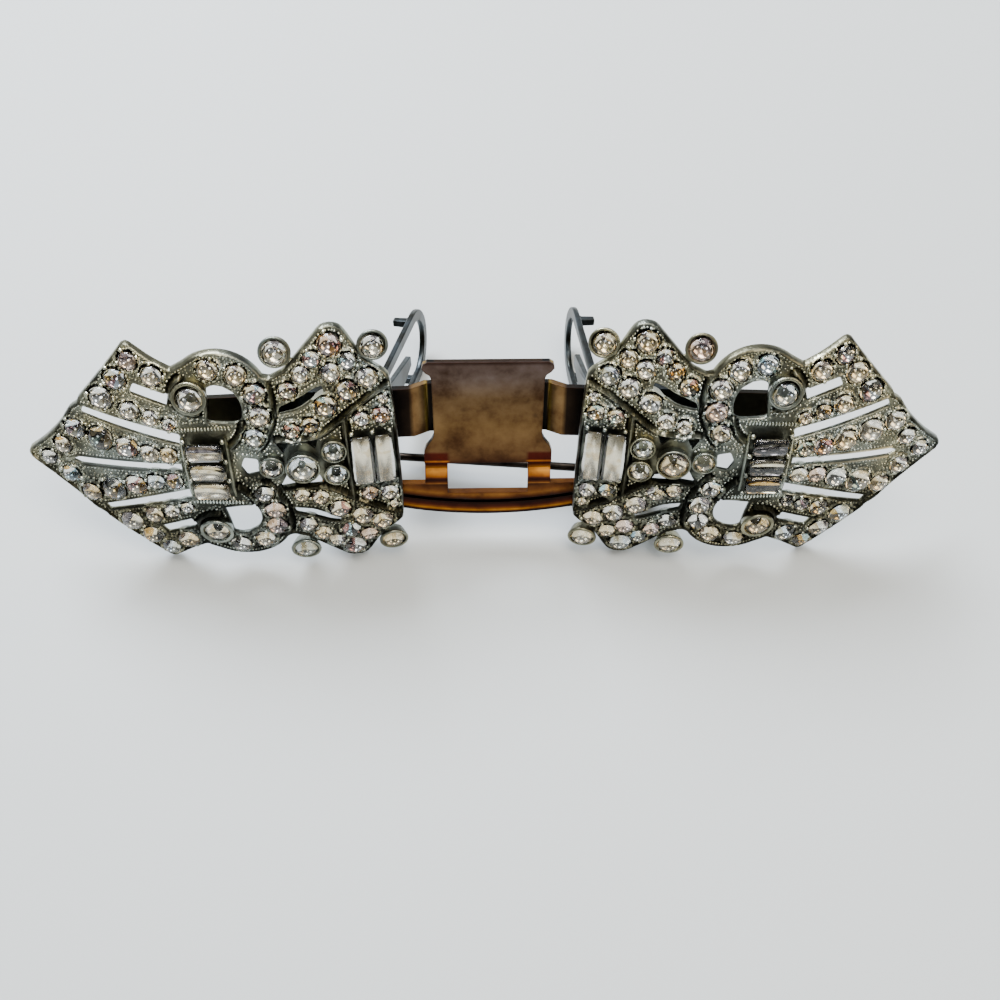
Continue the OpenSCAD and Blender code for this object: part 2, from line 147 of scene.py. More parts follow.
@dataclass(frozen=True)
class Dome:
    """The domed face of a clip: its crown is at crown_u, and it falls faster towards the tip."""

    height: float = 4.0
    crown_u: float = 22.0
    tip_u: float = 42.5
    fall_in: float = 0.0056
    fall_v: float = 0.0125

    def fall(self, u: Array | float) -> Array:
        """Curvature along u on either side of the crown."""
        fall_out = self.height / (self.tip_u - self.crown_u) ** 2
        return np.where(np.asarray(u) > self.crown_u, fall_out, self.fall_in)

    def at(self, u: Array | float, v: Array | float) -> Array:
        """Height of the dome over each point."""
        return self.height - self.fall(u) * (u - self.crown_u) ** 2 - self.fall_v * v * v

    def seat(self, u: float, v: float, lift: float = 0.0) -> tuple[Array, Array]:
        """Axes and origin of a seat that is square to the dome.

        Args:
            u: place along the clip.
            v: place across the clip.
            lift: height of the seat above the dome.

        Returns:
            A rotation matrix and the seat's origin.
        """
        slope_u = float(-2 * self.fall(u) * (u - self.crown_u))
        slope_v = -2 * self.fall_v * v
        axes = turn("Y", -math.degrees(math.atan(slope_u))) @ turn("X", math.degrees(math.atan(slope_v)))
        return axes, np.array([u, v, float(self.at(u, v)) + lift])


def spline(points: Sequence[Point], step: float = CURVE_STEP) -> list[Point]:
    """Smooth curve through the points, with its ends kept.

    Args:
        points: places that the curve passes through.
        step: distance between the points of the result.

    Returns:
        Points along the curve.
    """
    p = [np.array(q, float) for q in points]
    p = [2 * p[0] - p[1], *p, 2 * p[-1] - p[-2]]
    out: list[Point] = []
    for a, b, c, d in zip(p, p[1:], p[2:], p[3:]):
        count = max(1, round(float(np.linalg.norm(c - b)) / step))
        for k in range(count):
            t = k / count
            bend, twist = 2 * a - 5 * b + 4 * c - d, 3 * b - a - 3 * c + d
            q = 0.5 * (2 * b + (c - a) * t + bend * t**2 + twist * t**3)
            out.append((float(q[0]), float(q[1])))
    return [*out, (float(points[-1][0]), float(points[-1][1]))]


def arc(centre: Point, radius: float, start_deg: float, end_deg: float) -> list[Point]:
    """Points along an arc from one angle to another.

    Args:
        centre: the arc's centre.
        radius: its radius.
        start_deg: angle of its first point.
        end_deg: angle of its last point.

    Returns:
        Points about CURVE_STEP apart.
    """
    count = max(2, round(abs(math.radians(end_deg - start_deg)) * radius / CURVE_STEP))
    angles = [math.radians(start_deg + (end_deg - start_deg) * k / count) for k in range(count + 1)]
    return [(centre[0] + radius * math.cos(a), centre[1] + radius * math.sin(a)) for a in angles]


def lower(points: Sequence[Point]) -> list[Point]:
    """The same points mirrored across the clip's axis, in reverse order."""
    return [(u, -v) for u, v in reversed(points)]


def far_from(points: Array, path: Sequence[Point], closed: bool = False) -> Array:
    """Distance from each point to a path.

    Args:
        points: rows of u, v.
        path: the path's corners.
        closed: whether the path returns to its start.

    Returns:
        One distance for each point.
    """
    corners = np.array([*path, path[0]] if closed else path, float)
    best = np.full(len(points), 1e9)
    for a, b in zip(corners[:-1], corners[1:]):
        along = b - a
        share = np.clip(((points - a) @ along) / max(float(along @ along), 1e-12), 0, 1)
        gap = points - a - share[:, None] * along
        best = np.minimum(best, np.einsum("ij,ij->i", gap, gap))
    return np.sqrt(best)


def beyond(points: Array, polygon: Sequence[Point]) -> Array:
    """Distance of each point outside a polygon, and below zero inside it.

    Args:
        points: rows of u, v.
        polygon: its corners.

    Returns:
        One distance for each point.
    """
    u, v = points[:, 0], points[:, 1]
    within = np.zeros(len(points), bool)
    for (u1, v1), (u2, v2) in zip(polygon, [*polygon[1:], polygon[0]]):
        if v1 != v2:
            within ^= ((v1 > v) != (v2 > v)) & (u < (u2 - u1) * (v - v1) / (v2 - v1) + u1)
    gap = far_from(points, polygon, closed=True)
    return np.where(within, -gap, gap)


def walk(path: Sequence[Point], pitch: float, aside: float = 0.0, closed: bool = False) -> Array:
    """Points spaced evenly along a path.

    Args:
        path: the path's corners.
        pitch: distance between the points.
        aside: how far to the left of the path they lie.
        closed: whether the path returns to its start.

    Returns:
        Rows of u, v.
    """
    corners = np.array([*path, path[0]] if closed else path, float)
    steps = np.linalg.norm(np.diff(corners, axis=0), axis=1)
    far = np.concatenate([[0], np.cumsum(steps)])
    count = max(1, round(far[-1] / pitch))
    at = (np.arange(count) + 0.5) * far[-1] / count
    spot = np.column_stack([np.interp(at, far, corners[:, 0]), np.interp(at, far, corners[:, 1])])
    k = np.clip(np.searchsorted(far, at) - 1, 0, len(steps) - 1)
    along = np.diff(corners, axis=0)[k] / np.maximum(steps[k], 1e-9)[:, None]
    return spot + aside * np.column_stack([-along[:, 1], along[:, 0]])


def ring(count: int, radius: float, height: float, start: float = 0.0) -> Array:
    """Points round a circle, the first of them a share of a step on from zero."""
    angles = (np.arange(count) + start) * math.tau / count
    return np.column_stack([radius * np.cos(angles), radius * np.sin(angles), np.full(count, height)])


def band_faces(rows: int, count: int) -> list[tuple[int, ...]]:
    """Quads between stacked rings of points, the first ring lowest.

    Args:
        rows: how many rings there are.
        count: points in each ring.

    Returns:
        The faces.
    """
    quads: list[tuple[int, ...]] = []
    for first in range(0, (rows - 1) * count, count):
        for k in range(count):
            after = first + (k + 1) % count
            quads.append((first + k, after, after + count, first + k + count))
    return quads


def bead_form(shoulder: float, height: float, top: float) -> tuple[Array, list[tuple[int, ...]]]:
    """A small six-sided bead of radius 1, sunk a little into what carries it.

    Args:
        shoulder: radius of its upper ring.
        height: height of its upper ring.
        top: height of its point.

    Returns:
        Points and faces.
    """
    points = np.vstack([ring(6, 1, -0.3), ring(6, shoulder, height, 0.5), [[0, 0, top]]])
    return points, [*band_faces(2, 6), *[(6 + k, 6 + (k + 1) % 6, 12) for k in range(6)]]


class MeshBuilder:
    """Gathers points and faces in mm and turns them into one object."""

    def __init__(self) -> None:
        """Start with nothing."""
        self.points: list[Array] = []
        self.faces: list[tuple[int, ...]] = []
        self.slots: list[int] = []
        self.smooth: list[bool] = []
        self.grime_and_shade: list[Array] = []
        self.count = 0

    def add(
        self,
        points: Array,
        faces: Iterable[Sequence[int]],
        slots: int | Sequence[int] = 0,
        smooth: bool = True,
        grime_and_shade: float | Array = 0.3,
    ) -> None:
        """Add one form.

        Args:
            points: rows of u, v, w.
            faces: indices into points.
            slots: material slot of every face, or one for each face.
            smooth: whether the faces are shaded smooth.
            grime_and_shade: how tarnished each point is, from 0 to 1.
        """
        moved = [tuple(int(i) + self.count for i in face) for face in faces]
        self.points.append(np.asarray(points, float))
        self.faces += moved
        self.slots += [slots] * len(moved) if isinstance(slots, int) else list(slots)
        self.smooth += [smooth] * len(moved)
        self.grime_and_shade.append(np.broadcast_to(np.asarray(grime_and_shade, float), (len(points),)))
        self.count += len(points)

    def repeat(
        self, points: Array, faces: Sequence[Sequence[int]], places: Array, sizes: Array, grime_and_shade: Array
    ) -> None:
        """Add the same form at many places.

        Args:
            points: the form's points, for a size of 1.
            faces: its faces.
            places: rows of u, v, w.
            sizes: one size for each place.
            grime_and_shade: how tarnished each one is.
        """
        spread = places[:, None, :] + sizes[:, None, None] * points[None]
        every = [[i + k * len(points) for i in face] for k in range(len(places)) for face in faces]
        self.add(spread.reshape(-1, 3), every, grime_and_shade=np.repeat(grime_and_shade, len(points)))

    def lathe(self, seat: tuple[Array, Array], profile: Sequence[Point], count: int, grime_and_shade: float) -> None:
        """Turn a profile round a seat's axis.

        Args:
            seat: the seat's axes and origin.
            profile: radius and height pairs, from the foot round to the middle of the hollow.
            count: points in each ring.
            grime_and_shade: how tarnished it is.
        """
        axes, origin = seat
        points = np.vstack([ring(count, r, h) for r, h in profile])
        self.add(points @ axes.T + origin, band_faces(len(profile), count), grime_and_shade=grime_and_shade)

    def tube(self, path: Array, widths: Sequence[float], tall: float, grime_and_shade: float, count: int = 12) -> None:
        """Run a rounded bar along a path that lies about level.

        Args:
            path: rows of u, v, w along the middle of the bar.
            widths: half its width at each point.
            tall: half its height, as a share of its width.
            grime_and_shade: how tarnished it is.
            count: points round the bar.
        """
        along = np.gradient(path, axis=0)
        aside = np.cross([0, 0, 1], along)
        aside /= np.linalg.norm(aside, axis=1)[:, None]
        angles = np.arange(count) * math.tau / count
        rows = [
            p + w * (np.outer(np.cos(angles), a) + tall * np.outer(np.sin(angles), [0, 0, 1]))
            for p, a, w in zip(path, aside, widths)
        ]
        ends = [tuple(range(count))[::-1], tuple(range((len(path) - 1) * count, len(path) * count))]
        faces = [face[::-1] for face in [*band_faces(len(path), count), *ends]]
        self.add(np.vstack(rows), faces, grime_and_shade=grime_and_shade)

    def build(
        self, name: str, place: ClipPlace, materials: Sequence[bpy.types.Material]
    ) -> bpy.types.Object:
        """Make the object.

        Args:
            name: name of the piece.
            place: the clip that it belongs to, which takes its points to the row frame.
            materials: its material slots, in order.

        Returns:
            The new object, linked to the scene.
        """
        mesh = bpy.data.meshes.new(name)
        faces = [face[::-1] for face in self.faces] if place.mirrored else self.faces
        mesh.from_pydata(place.to_row(np.vstack(self.points)).tolist(), [], faces)
        for material in materials:
            mesh.materials.append(material)
        mesh.polygons.foreach_set("material_index", self.slots)
        mesh.polygons.foreach_set("use_smooth", self.smooth)
        layer = mesh.attributes.new("grime_and_shade", "FLOAT", "POINT")
        layer.data.foreach_set("value", np.concatenate(self.grime_and_shade).astype(np.float32))
        mesh.set_sharp_from_angle(angle=math.radians(SHARP_DEG))
        mesh.update()
        piece = bpy.data.objects.new(name, mesh)
        bpy.context.scene.collection.objects.link(piece)
        return piece


def add_node(
    tree: bpy.types.NodeTree, kind: str, inputs: dict[Any, Any] | None = None, **settings: Any
) -> Any:
    """Add a shader node with its settings, values and links.

    Args:
        tree: the node tree.
        kind: the node's type, without its ShaderNode prefix.
        inputs: by socket name or index, a value to set or an output socket to link from.
        settings: attributes of the node.

    Returns:
        The new node.
    """
    made = tree.nodes.new("ShaderNode" + kind)
    for key, value in settings.items():
        setattr(made, key, value)
    for key, value in (inputs or {}).items():
        if isinstance(value, bpy.types.NodeSocket):
            tree.links.new(value, made.inputs[key])
        else:
            made.inputs[key].default_value = value
    return made


def per_metre(size_mm: float) -> float:
    """Scale of a pattern whose features are about this wide."""
    return 1 / (size_mm * MM)


def new_material(name: str) -> tuple[bpy.types.Material, bpy.types.NodeTree, Any]:
    """A material with a Principled shader wired to its output.

    Args:
        name: name of the material.

    Returns:
        The material, its node tree and its Principled node.
    """
    material = bpy.data.materials.new(name)
    material.use_nodes = True
    tree = material.node_tree
    tree.nodes.clear()
    shader = add_node(tree, "BsdfPrincipled")
    add_node(tree, "OutputMaterial", {"Surface": shader.outputs["BSDF"]})
    return material, tree, shader


def set_ramp(ramp: Any, stops: Sequence[tuple[float, Colour]]) -> None:
    """Give a colour ramp node its stops.

    Args:
        ramp: the node.
        stops: position and colour of each stop, in order.
    """
    elements = ramp.color_ramp.elements
    while len(elements) < len(stops):
        elements.new(0.5)
    for element, (position, colour) in zip(elements, stops):
        element.position = position
        element.color = colour


@dataclass(frozen=True)
class CastWhiteMetal:
    """Tin-lead white metal, cast and once plated: bright where it is rubbed, brown-grey in every hollow."""

    name: str = "cast_white_metal"
    bright: str = "e9eae2"
    worn: str = "a3a398"
    dark: str = "2e2e28"
    cool: str = "e9f1f2"
    warm: str = "f0ead0"
    grain_mm: float = 0.2
    grain_tall_mm: float = 0.06
    patch_mm: float = 2.6
    patch_swing: float = 0.9
    zone_mm: float = 8.0
    zone_from: float = 0.4
    zone_to: float = 0.58
    rubbed_roughness: float = 0.12
    dull_roughness: float = 0.38

    def build(self) -> bpy.types.Material:
        """Make the material. The grain of the casting breaks the gloss up, and tarnish darkens the hollows.

        The grain is drawn coarser than the real one, which would not show. The mesh carries the tarnish
        together with painted shade on the lower part of each clip, patches a few millimetres wide shift it,
        and wide zones differ in warmth.

        Returns:
            The material.
        """
        material, tree, shader = new_material(self.name)
        place = add_node(tree, "TexCoord").outputs["Object"]
        grime_and_shade = add_node(tree, "Attribute", attribute_name="grime_and_shade").outputs["Fac"]
        patches = {"Vector": place, "Scale": per_metre(self.patch_mm), "Detail": 4.0}
        patch = add_node(tree, "TexNoise", patches)
        grains = {"Vector": place, "Scale": per_metre(self.grain_mm), "Detail": 3.0}
        grain = add_node(tree, "TexNoise", grains)
        swing = {0: patch.outputs["Fac"], 1: self.patch_swing, 2: -self.patch_swing / 2}
        uneven = add_node(tree, "Math", swing, operation="MULTIPLY_ADD").outputs[0]
        amount = add_node(tree, "Math", {0: grime_and_shade, 1: uneven}, operation="ADD", use_clamp=True).outputs[0]
        ramp = add_node(tree, "ValToRGB", {"Fac": amount})
        set_ramp(ramp, [(0.12, linear(self.bright)), (0.5, linear(self.worn)), (0.95, linear(self.dark))])
        zones = {"Vector": place, "Scale": per_metre(self.zone_mm), "Detail": 2.0}
        zone = add_node(tree, "TexNoise", zones)
        limits = {"From Min": self.zone_from, "From Max": self.zone_to}
        share = add_node(tree, "MapRange", {"Value": zone.outputs["Fac"], **limits}).outputs[0]
        hues = {0: share, 6: linear(self.cool), 7: linear(self.warm)}
        hue = add_node(tree, "Mix", hues, data_type="RGBA").outputs[2]
        toned = {0: 1.0, 6: ramp.outputs["Color"], 7: hue}
        colour = add_node(tree, "Mix", toned, data_type="RGBA", blend_type="MULTIPLY").outputs[2]
        gloss = {"To Min": self.rubbed_roughness, "To Max": self.dull_roughness}
        rough = add_node(tree, "MapRange", {"Value": amount, **gloss}).outputs[0]
        height = {"Height": grain.outputs["Fac"], "Strength": 0.5, "Distance": self.grain_tall_mm * MM}
        bump = add_node(tree, "Bump", height)
        shader.inputs["Metallic"].default_value = 1.0
        tree.links.new(colour, shader.inputs["Base Color"])
        tree.links.new(rough, shader.inputs["Roughness"])
        tree.links.new(bump.outputs["Normal"], shader.inputs["Normal"])
        return material


@dataclass(frozen=True)
class CutGlass:
    """Lead glass, ground and polished: clear and very smooth, with a faint tint of its own."""

    name: str
    tint: str
    ior: float = 1.55
    roughness: float = 0.02

    def build(self) -> bpy.types.Material:
        """Make the material of a stone's crown.

        Returns:
            The material.
        """
        material, _, shader = new_material(self.name)
        shader.inputs["Base Color"].default_value = linear(self.tint)
        shader.inputs["Roughness"].default_value = self.roughness
        shader.inputs["IOR"].default_value = self.ior
        shader.inputs["Transmission Weight"].default_value = 1.0
        return material


@dataclass(frozen=True)
class StainedMetal:
    """Metal that passes in patches from a stain to its own colour."""

    name: str
    colour: str
    stain: str
    roughness: float
    patch_mm: float
    detail: float
    stops: tuple[float, float]

    def build(self) -> bpy.types.Material:
        """Make the material.

        Returns:
            The material.
        """
        material, tree, shader = new_material(self.name)
        place = add_node(tree, "TexCoord").outputs["Object"]
        patches = {"Vector": place, "Scale": per_metre(self.patch_mm), "Detail": self.detail}
        ramp = add_node(tree, "ValToRGB", {"Fac": add_node(tree, "TexNoise", patches).outputs["Fac"]})
        set_ramp(ramp, list(zip(self.stops, (linear(self.stain), linear(self.colour)))))
        shader.inputs["Metallic"].default_value = 1.0
        shader.inputs["Roughness"].default_value = self.roughness
        tree.links.new(ramp.outputs["Color"], shader.inputs["Base Color"])
        return material


@dataclass(frozen=True)
class MirrorFoil(StainedMetal):
    """Silvered foil on a stone's back, which sends the light out again. Damp turns it cream, then brown.

    Its stains are about as wide as one facet.
    """

    patch_mm: float = 0.7
    detail: float = 1.0
    stops: tuple[float, float] = (0.36, 0.5)


@dataclass(frozen=True)
class DullSteel(StainedMetal):
    """Tinned spring steel, grey and matt with age. Its stains are a couple of millimetres wide."""

    roughness: float = 0.36
    patch_mm: float = 2.0
    detail: float = 5.0
    stops: tuple[float, float] = (0.38, 0.62)


@dataclass(frozen=True)
class TarnishedBrass:
    """Rolled brass sheet, lacquered and gone brown, with painted light: purple-grey up the plate, partly
    tarnish bloom and partly a painted sky reflection, and painted shade and golden painted highlights across
    the bends.

    Each row of a ramp is a distance in mm and the colour there.
    """

    name: str = "tarnished_brass"
    shade: str = "8f7256"
    even: str = "dccdb8"
    rubbed: str = "fff6e6"
    speck: str = "2b190f"
    edge: str = "2e150b"
    metallic: float = 0.9
    patch_mm: float = 3.4
    patch_tall_mm: float = 0.05
    speck_mm: float = 2.9
    edge_mm: float = 0.22
    rubbed_roughness: float = 0.26
    dull_roughness: float = 0.46
    rail_below_mm: float = -5.15
    rail_middle_mm: float = 8.8
    rail_bow: float = 0.0125
    rail_bow_reach_mm: float = 8.0
    strap_above_mm: float = -1.0
    strap_behind_mm: float = 0.42
    tab_out_mm: tuple[float, float] = (3.5, 3.85)
    tab_up_mm: tuple[float, float] = (-0.9, -1.1)
    # Brass tone up the plate with painted light: a purple-grey painted sky reflection near the top and
    # painted shade where the bottom edge curls back.
    plate_tone_and_painted_light: tuple[tuple[float, str], ...] = (
        (-5.1, "8a5a28"),
        (-2.5, "2c1408"),
        (-2.3, "3a2010"),
        (-1.9, "5f4128"),
        (-1.2, "74583a"),
        (2.0, "7c6240"),
        (5.0, "766046"),
        (7.2, "6f6260"),
        (8.5, "665858"),
        (8.75, "443430"),
    )
    # Painted light across each tab's S-bend: bands of painted shade and golden painted highlight over the
    # brass's own red-brown.
    tab_tone_and_painted_light: tuple[tuple[float, str], ...] = (
        (-5.1, "8a5a28"),
        (-4.95, "5a3010"),
        (-4.78, "2c0e04"),
        (-4.52, "2c0e04"),
        (-4.3, "8a5016"),
        (-3.9, "b87a28"),
        (-3.5, "8f5618"),
        (-3.3, "5a2408"),
        (-3.1, "2a0c04"),
        (-2.4, "2a0c04"),
        (-2.25, "5a2008"),
        (-2.1, "b87028"),
        (-1.95, "4a1204"),
        (-1.25, "501808"),
        (-1.0, "6a4630"),
    )
    # Painted light along the rail: a painted highlight on each rounded strip and painted shade at its edges
    # and in the groove between them.
    rail_tone_and_painted_light: tuple[tuple[float, str], ...] = (
        (0.0, "120804"),
        (0.24, "2a1208"),
        (0.42, "b87c2a"),
        (0.6, "7c4818"),
        (0.85, "451a0a"),
        (1.3, "160a04"),
        (1.72, "160a04"),
        (1.95, "5a3212"),
        (2.3, "8a5c28"),
        (2.7, "6a401c"),
        (3.3, "3c1f0e"),
    )
    # Painted light across each strap: painted shade beside the plate, a yellow painted highlight on the
    # bend, brown on the flat and painted shadow under the casting.
    strap_tone_and_painted_light: tuple[tuple[float, str], ...] = (
        (4.7, "3a2818"),
        (4.95, "0c0704"),
        (5.5, "0f0a05"),
        (5.66, "b8a04e"),
        (5.9, "8c7452"),
        (6.8, "826846"),
        (7.2, "281c12"),
        (8.6, "100c08"),
        (26.0, "2b2a22"),
    )

    def along(self, tree: bpy.types.NodeTree, place: Any, direction: Array, stance: Stance) -> Any:
        """Distance of a point from the middle of the face along a direction.

        Args:
            tree: the material's node tree.
            place: output with the point's place.
            direction: unit vector in the row frame.
            stance: the lean of the face.

        Returns:
            Output with the distance in mm.
        """
        middle = stance.to_row(np.zeros((1, 3)))[0]
        towards = {0: place, 1: tuple((direction / MM).tolist())}
        dot = add_node(tree, "VectorMath", towards, operation="DOT_PRODUCT").outputs["Value"]
        offset = -float(middle @ direction) / MM
        return add_node(tree, "Math", {0: dot, 1: offset}, operation="ADD").outputs[0]

    def banded(self, tree: bpy.types.NodeTree, distance: Any, rows: Sequence[tuple[float, str]]) -> Any:
        """Output with the colour of a ramp whose stops are given in mm.

        Args:
            tree: the material's node tree.
            distance: output with a distance in mm.
            rows: distance and colour of each stop, in order.

        Returns:
            Output with the colour.
        """
        low, high = rows[0][0], rows[-1][0]
        share = add_node(tree, "MapRange", {"Value": distance, "From Min": low, "From Max": high}).outputs[0]
        ramp = add_node(tree, "ValToRGB", {"Fac": share})
        set_ramp(ramp, [((far - low) / (high - low), linear(colour)) for far, colour in rows])
        return ramp.outputs["Color"]

    def build(self, stance: Stance) -> bpy.types.Material:
        """Make the material.

        Args:
            stance: the lean of the face, which says how high up the plate a point is.

        Returns:
            The material.
        """
        material, tree, shader = new_material(self.name)
        place = add_node(tree, "TexCoord").outputs["Object"]
        across, up, out = (self.along(tree, place, stance.turned() @ axis, stance) for axis in np.eye(3))
        far = add_node(tree, "Math", {0: across}, operation="ABSOLUTE").outputs[0]
        bowed = add_node(tree, "Math", {0: across, 1: across}, operation="MULTIPLY").outputs[0]
        reach = {0: bowed, 1: self.rail_bow_reach_mm**2}
        bowed = add_node(tree, "Math", reach, operation="MINIMUM").outputs[0]
        bow = {0: bowed, 1: -self.rail_bow, 2: self.rail_middle_mm}
        bowed = add_node(tree, "Math", bow, operation="MULTIPLY_ADD").outputs[0]
        over_rail = add_node(tree, "Math", {0: up, 1: bowed}, operation="ADD").outputs[0]
        low = add_node(tree, "Math", {0: up, 1: self.rail_below_mm}, operation="LESS_THAN").outputs[0]
        sunk = add_node(tree, "Math", {0: out, 1: self.strap_behind_mm}, operation="LESS_THAN").outputs[0]
        high = add_node(tree, "Math", {0: up, 1: self.strap_above_mm}, operation="GREATER_THAN").outputs[0]
        strap = add_node(tree, "Math", {0: sunk, 1: high}, operation="MULTIPLY").outputs[0]
        # These bands paint light and shade by place, over the brass's own tone: painted sheen up the plate,
        # painted highlights and shade across tabs, rail and straps.
        plate, rail = self.banded(tree, up, self.plate_tone_and_painted_light), self.banded(tree, over_rail, self.rail_tone_and_painted_light)
        limits = {"From Min": self.tab_out_mm[0], "From Max": self.tab_out_mm[1]}
        beside = add_node(tree, "MapRange", {"Value": far, **limits}).outputs[0]
        limits = {"From Min": self.tab_up_mm[0], "From Max": self.tab_up_mm[1]}
        under = add_node(tree, "MapRange", {"Value": up, **limits}).outputs[0]
        on_tab = add_node(tree, "Math", {0: beside, 1: under}, operation="MULTIPLY").outputs[0]
        tab, arm = self.banded(tree, up, self.tab_tone_and_painted_light), self.banded(tree, far, self.strap_tone_and_painted_light)
        tone_and_painted_light = add_node(tree, "Mix", {0: on_tab, 6: plate, 7: tab}, data_type="RGBA").outputs[2]
        tone_and_painted_light = add_node(tree, "Mix", {0: low, 6: tone_and_painted_light, 7: rail}, data_type="RGBA").outputs[2]
        tone_and_painted_light = add_node(tree, "Mix", {0: strap, 6: tone_and_painted_light, 7: arm}, data_type="RGBA").outputs[2]
        patches = {"Vector": place, "Scale": per_metre(self.patch_mm), "Detail": 6.0, "Roughness": 0.6}
        patch = add_node(tree, "TexNoise", patches).outputs["Fac"]
        ramp = add_node(tree, "ValToRGB", {"Fac": patch})
        set_ramp(ramp, [(0.34, linear(self.shade)), (0.5, linear(self.even)), (0.64, linear(self.rubbed))])
        mottled = {0: 1.0, 6: tone_and_painted_light, 7: ramp.outputs["Color"]}
        colour = add_node(tree, "Mix", mottled, data_type="RGBA", blend_type="MULTIPLY").outputs[2]
        cells = add_node(tree, "TexVoronoi", {"Vector": place, "Scale": per_metre(self.speck_mm)})
        spots = {"From Min": 0.03, "From Max": 0.12, "To Min": 0.4, "To Max": 0.0}
        speck = add_node(tree, "MapRange", {"Value": cells.outputs["Distance"], **spots}).outputs[0]
        spotted = {0: speck, 6: colour, 7: linear(self.speck)}
        colour = add_node(tree, "Mix", spotted, data_type="RGBA").outputs[2]
        soft = add_node(tree, "Bevel", {"Radius": self.edge_mm * MM}, samples=6).outputs["Normal"]
        true = add_node(tree, "NewGeometry").outputs["Normal"]
        match = add_node(tree, "VectorMath", {0: soft, 1: true}, operation="DOT_PRODUCT").outputs["Value"]
        bends = {"Value": match, "From Min": 0.99, "From Max": 0.88, "To Max": 0.6}
        edge = add_node(tree, "MapRange", bends).outputs[0]
        edged = {0: edge, 6: colour, 7: linear(self.edge)}
        colour = add_node(tree, "Mix", edged, data_type="RGBA").outputs[2]
        gloss = {"To Min": self.dull_roughness, "To Max": self.rubbed_roughness}
        rough = add_node(tree, "MapRange", {"Value": patch, **gloss}).outputs[0]
        height = {"Height": patch, "Strength": 0.15, "Distance": self.patch_tall_mm * MM}
        bump = add_node(tree, "Bump", height)
        shader.inputs["Metallic"].default_value = self.metallic
        tree.links.new(colour, shader.inputs["Base Color"])
        tree.links.new(rough, shader.inputs["Roughness"])
        tree.links.new(bump.outputs["Normal"], shader.inputs["Normal"])
        return material


@dataclass(frozen=True)
class MattPaper:
    """Pale matt paper under the brooch: plain, and without gloss."""

    name: str = "pale_floor"
    pale: str = "c6c9c6"
    roughness: float = 0.6

    def build(self) -> bpy.types.Material:
        """Make the material.

        Returns:
            The material.
        """
        material, _, shader = new_material(self.name)
        shader.inputs["Base Color"].default_value = linear(self.pale)
        shader.inputs["Roughness"].default_value = self.roughness
        return material


class Tint(Enum):
    """Tints of the clear glass: partly from age, and partly painted colour that stands in for the flashes of
    dispersion.
    """

    CLEAR = "f7f6f2"
    WARM = "f3e6cb"
    ROSE = "f0dcd8"
    COOL = "dfe9f2"


class Backing(Enum):
    """State of the foil behind one facet: colour, stain and roughness. Its dark, mauve, rose, amber and aqua
    states are partly aged foil and partly painted reflections and coloured glints.
    """

    BRIGHT = ("f8f7f2", "e2dfd4", 0.04)
    CREAM = ("ece0c2", "b8a67e", 0.05)
    DARK = ("4a4740", "1b1914", 0.06)
    ROSE = ("bd938e", "5e4240", 0.05)
    AMBER = ("d6b06c", "7e5f34", 0.05)
    AQUA = ("b8d6dc", "7c94a0", 0.05)
    SATIN = ("fff6de", "f2e0bc", 0.2)
    MAUVE = ("7c7678", "4a464a", 0.08)


class Finishes:
    """Every material of the brooch, built once."""

    def __init__(self, stance: Stance) -> None:
        """Build them.

        Args:
            stance: the lean of the face.
        """
        self.cast = CastWhiteMetal().build()
        self.brass = TarnishedBrass().build(stance)
        self.steel = DullSteel("dull_steel", "41474a", "24241f").build()
        self.wire = DullSteel("brown_wire", "322c26", "17130f").build()
        self.glass = [CutGlass(f"cut_glass_{t.name.lower()}", t.value).build() for t in Tint]
        self.foil = [MirrorFoil(f"foil_{b.name.lower()}", *b.value).build() for b in Backing]


@dataclass(frozen=True)
class RoundStone:
    """One small stone: its place and the radius of its girdle."""

    u: float
    v: float
    radius: float


@dataclass(frozen=True)
class Cup:
    """A raised round setting: its place, radius, height above the dome and stone radius."""

    u: float
    v: float
    radius: float
    height: float
    stone: float


@dataclass(frozen=True)
class Bar:
    """A baguette: its place, its length along u and v, and the lift of its seat."""

    u: float
    v: float
    along_u: float
    along_v: float
    lift: float

    def upright(self) -> bool:
        """Whether it runs across the clip."""
        return self.along_v > self.along_u


TIGHT = 1.1


def both(rows: Sequence[tuple[float, float, float]]) -> list[RoundStone]:
    """Each row as a stone above the axis and one below it, enlarged so that the stones all but touch."""
    return [RoundStone(u, sign * v, r * TIGHT) for u, v, r in rows for sign in (1, -1)]


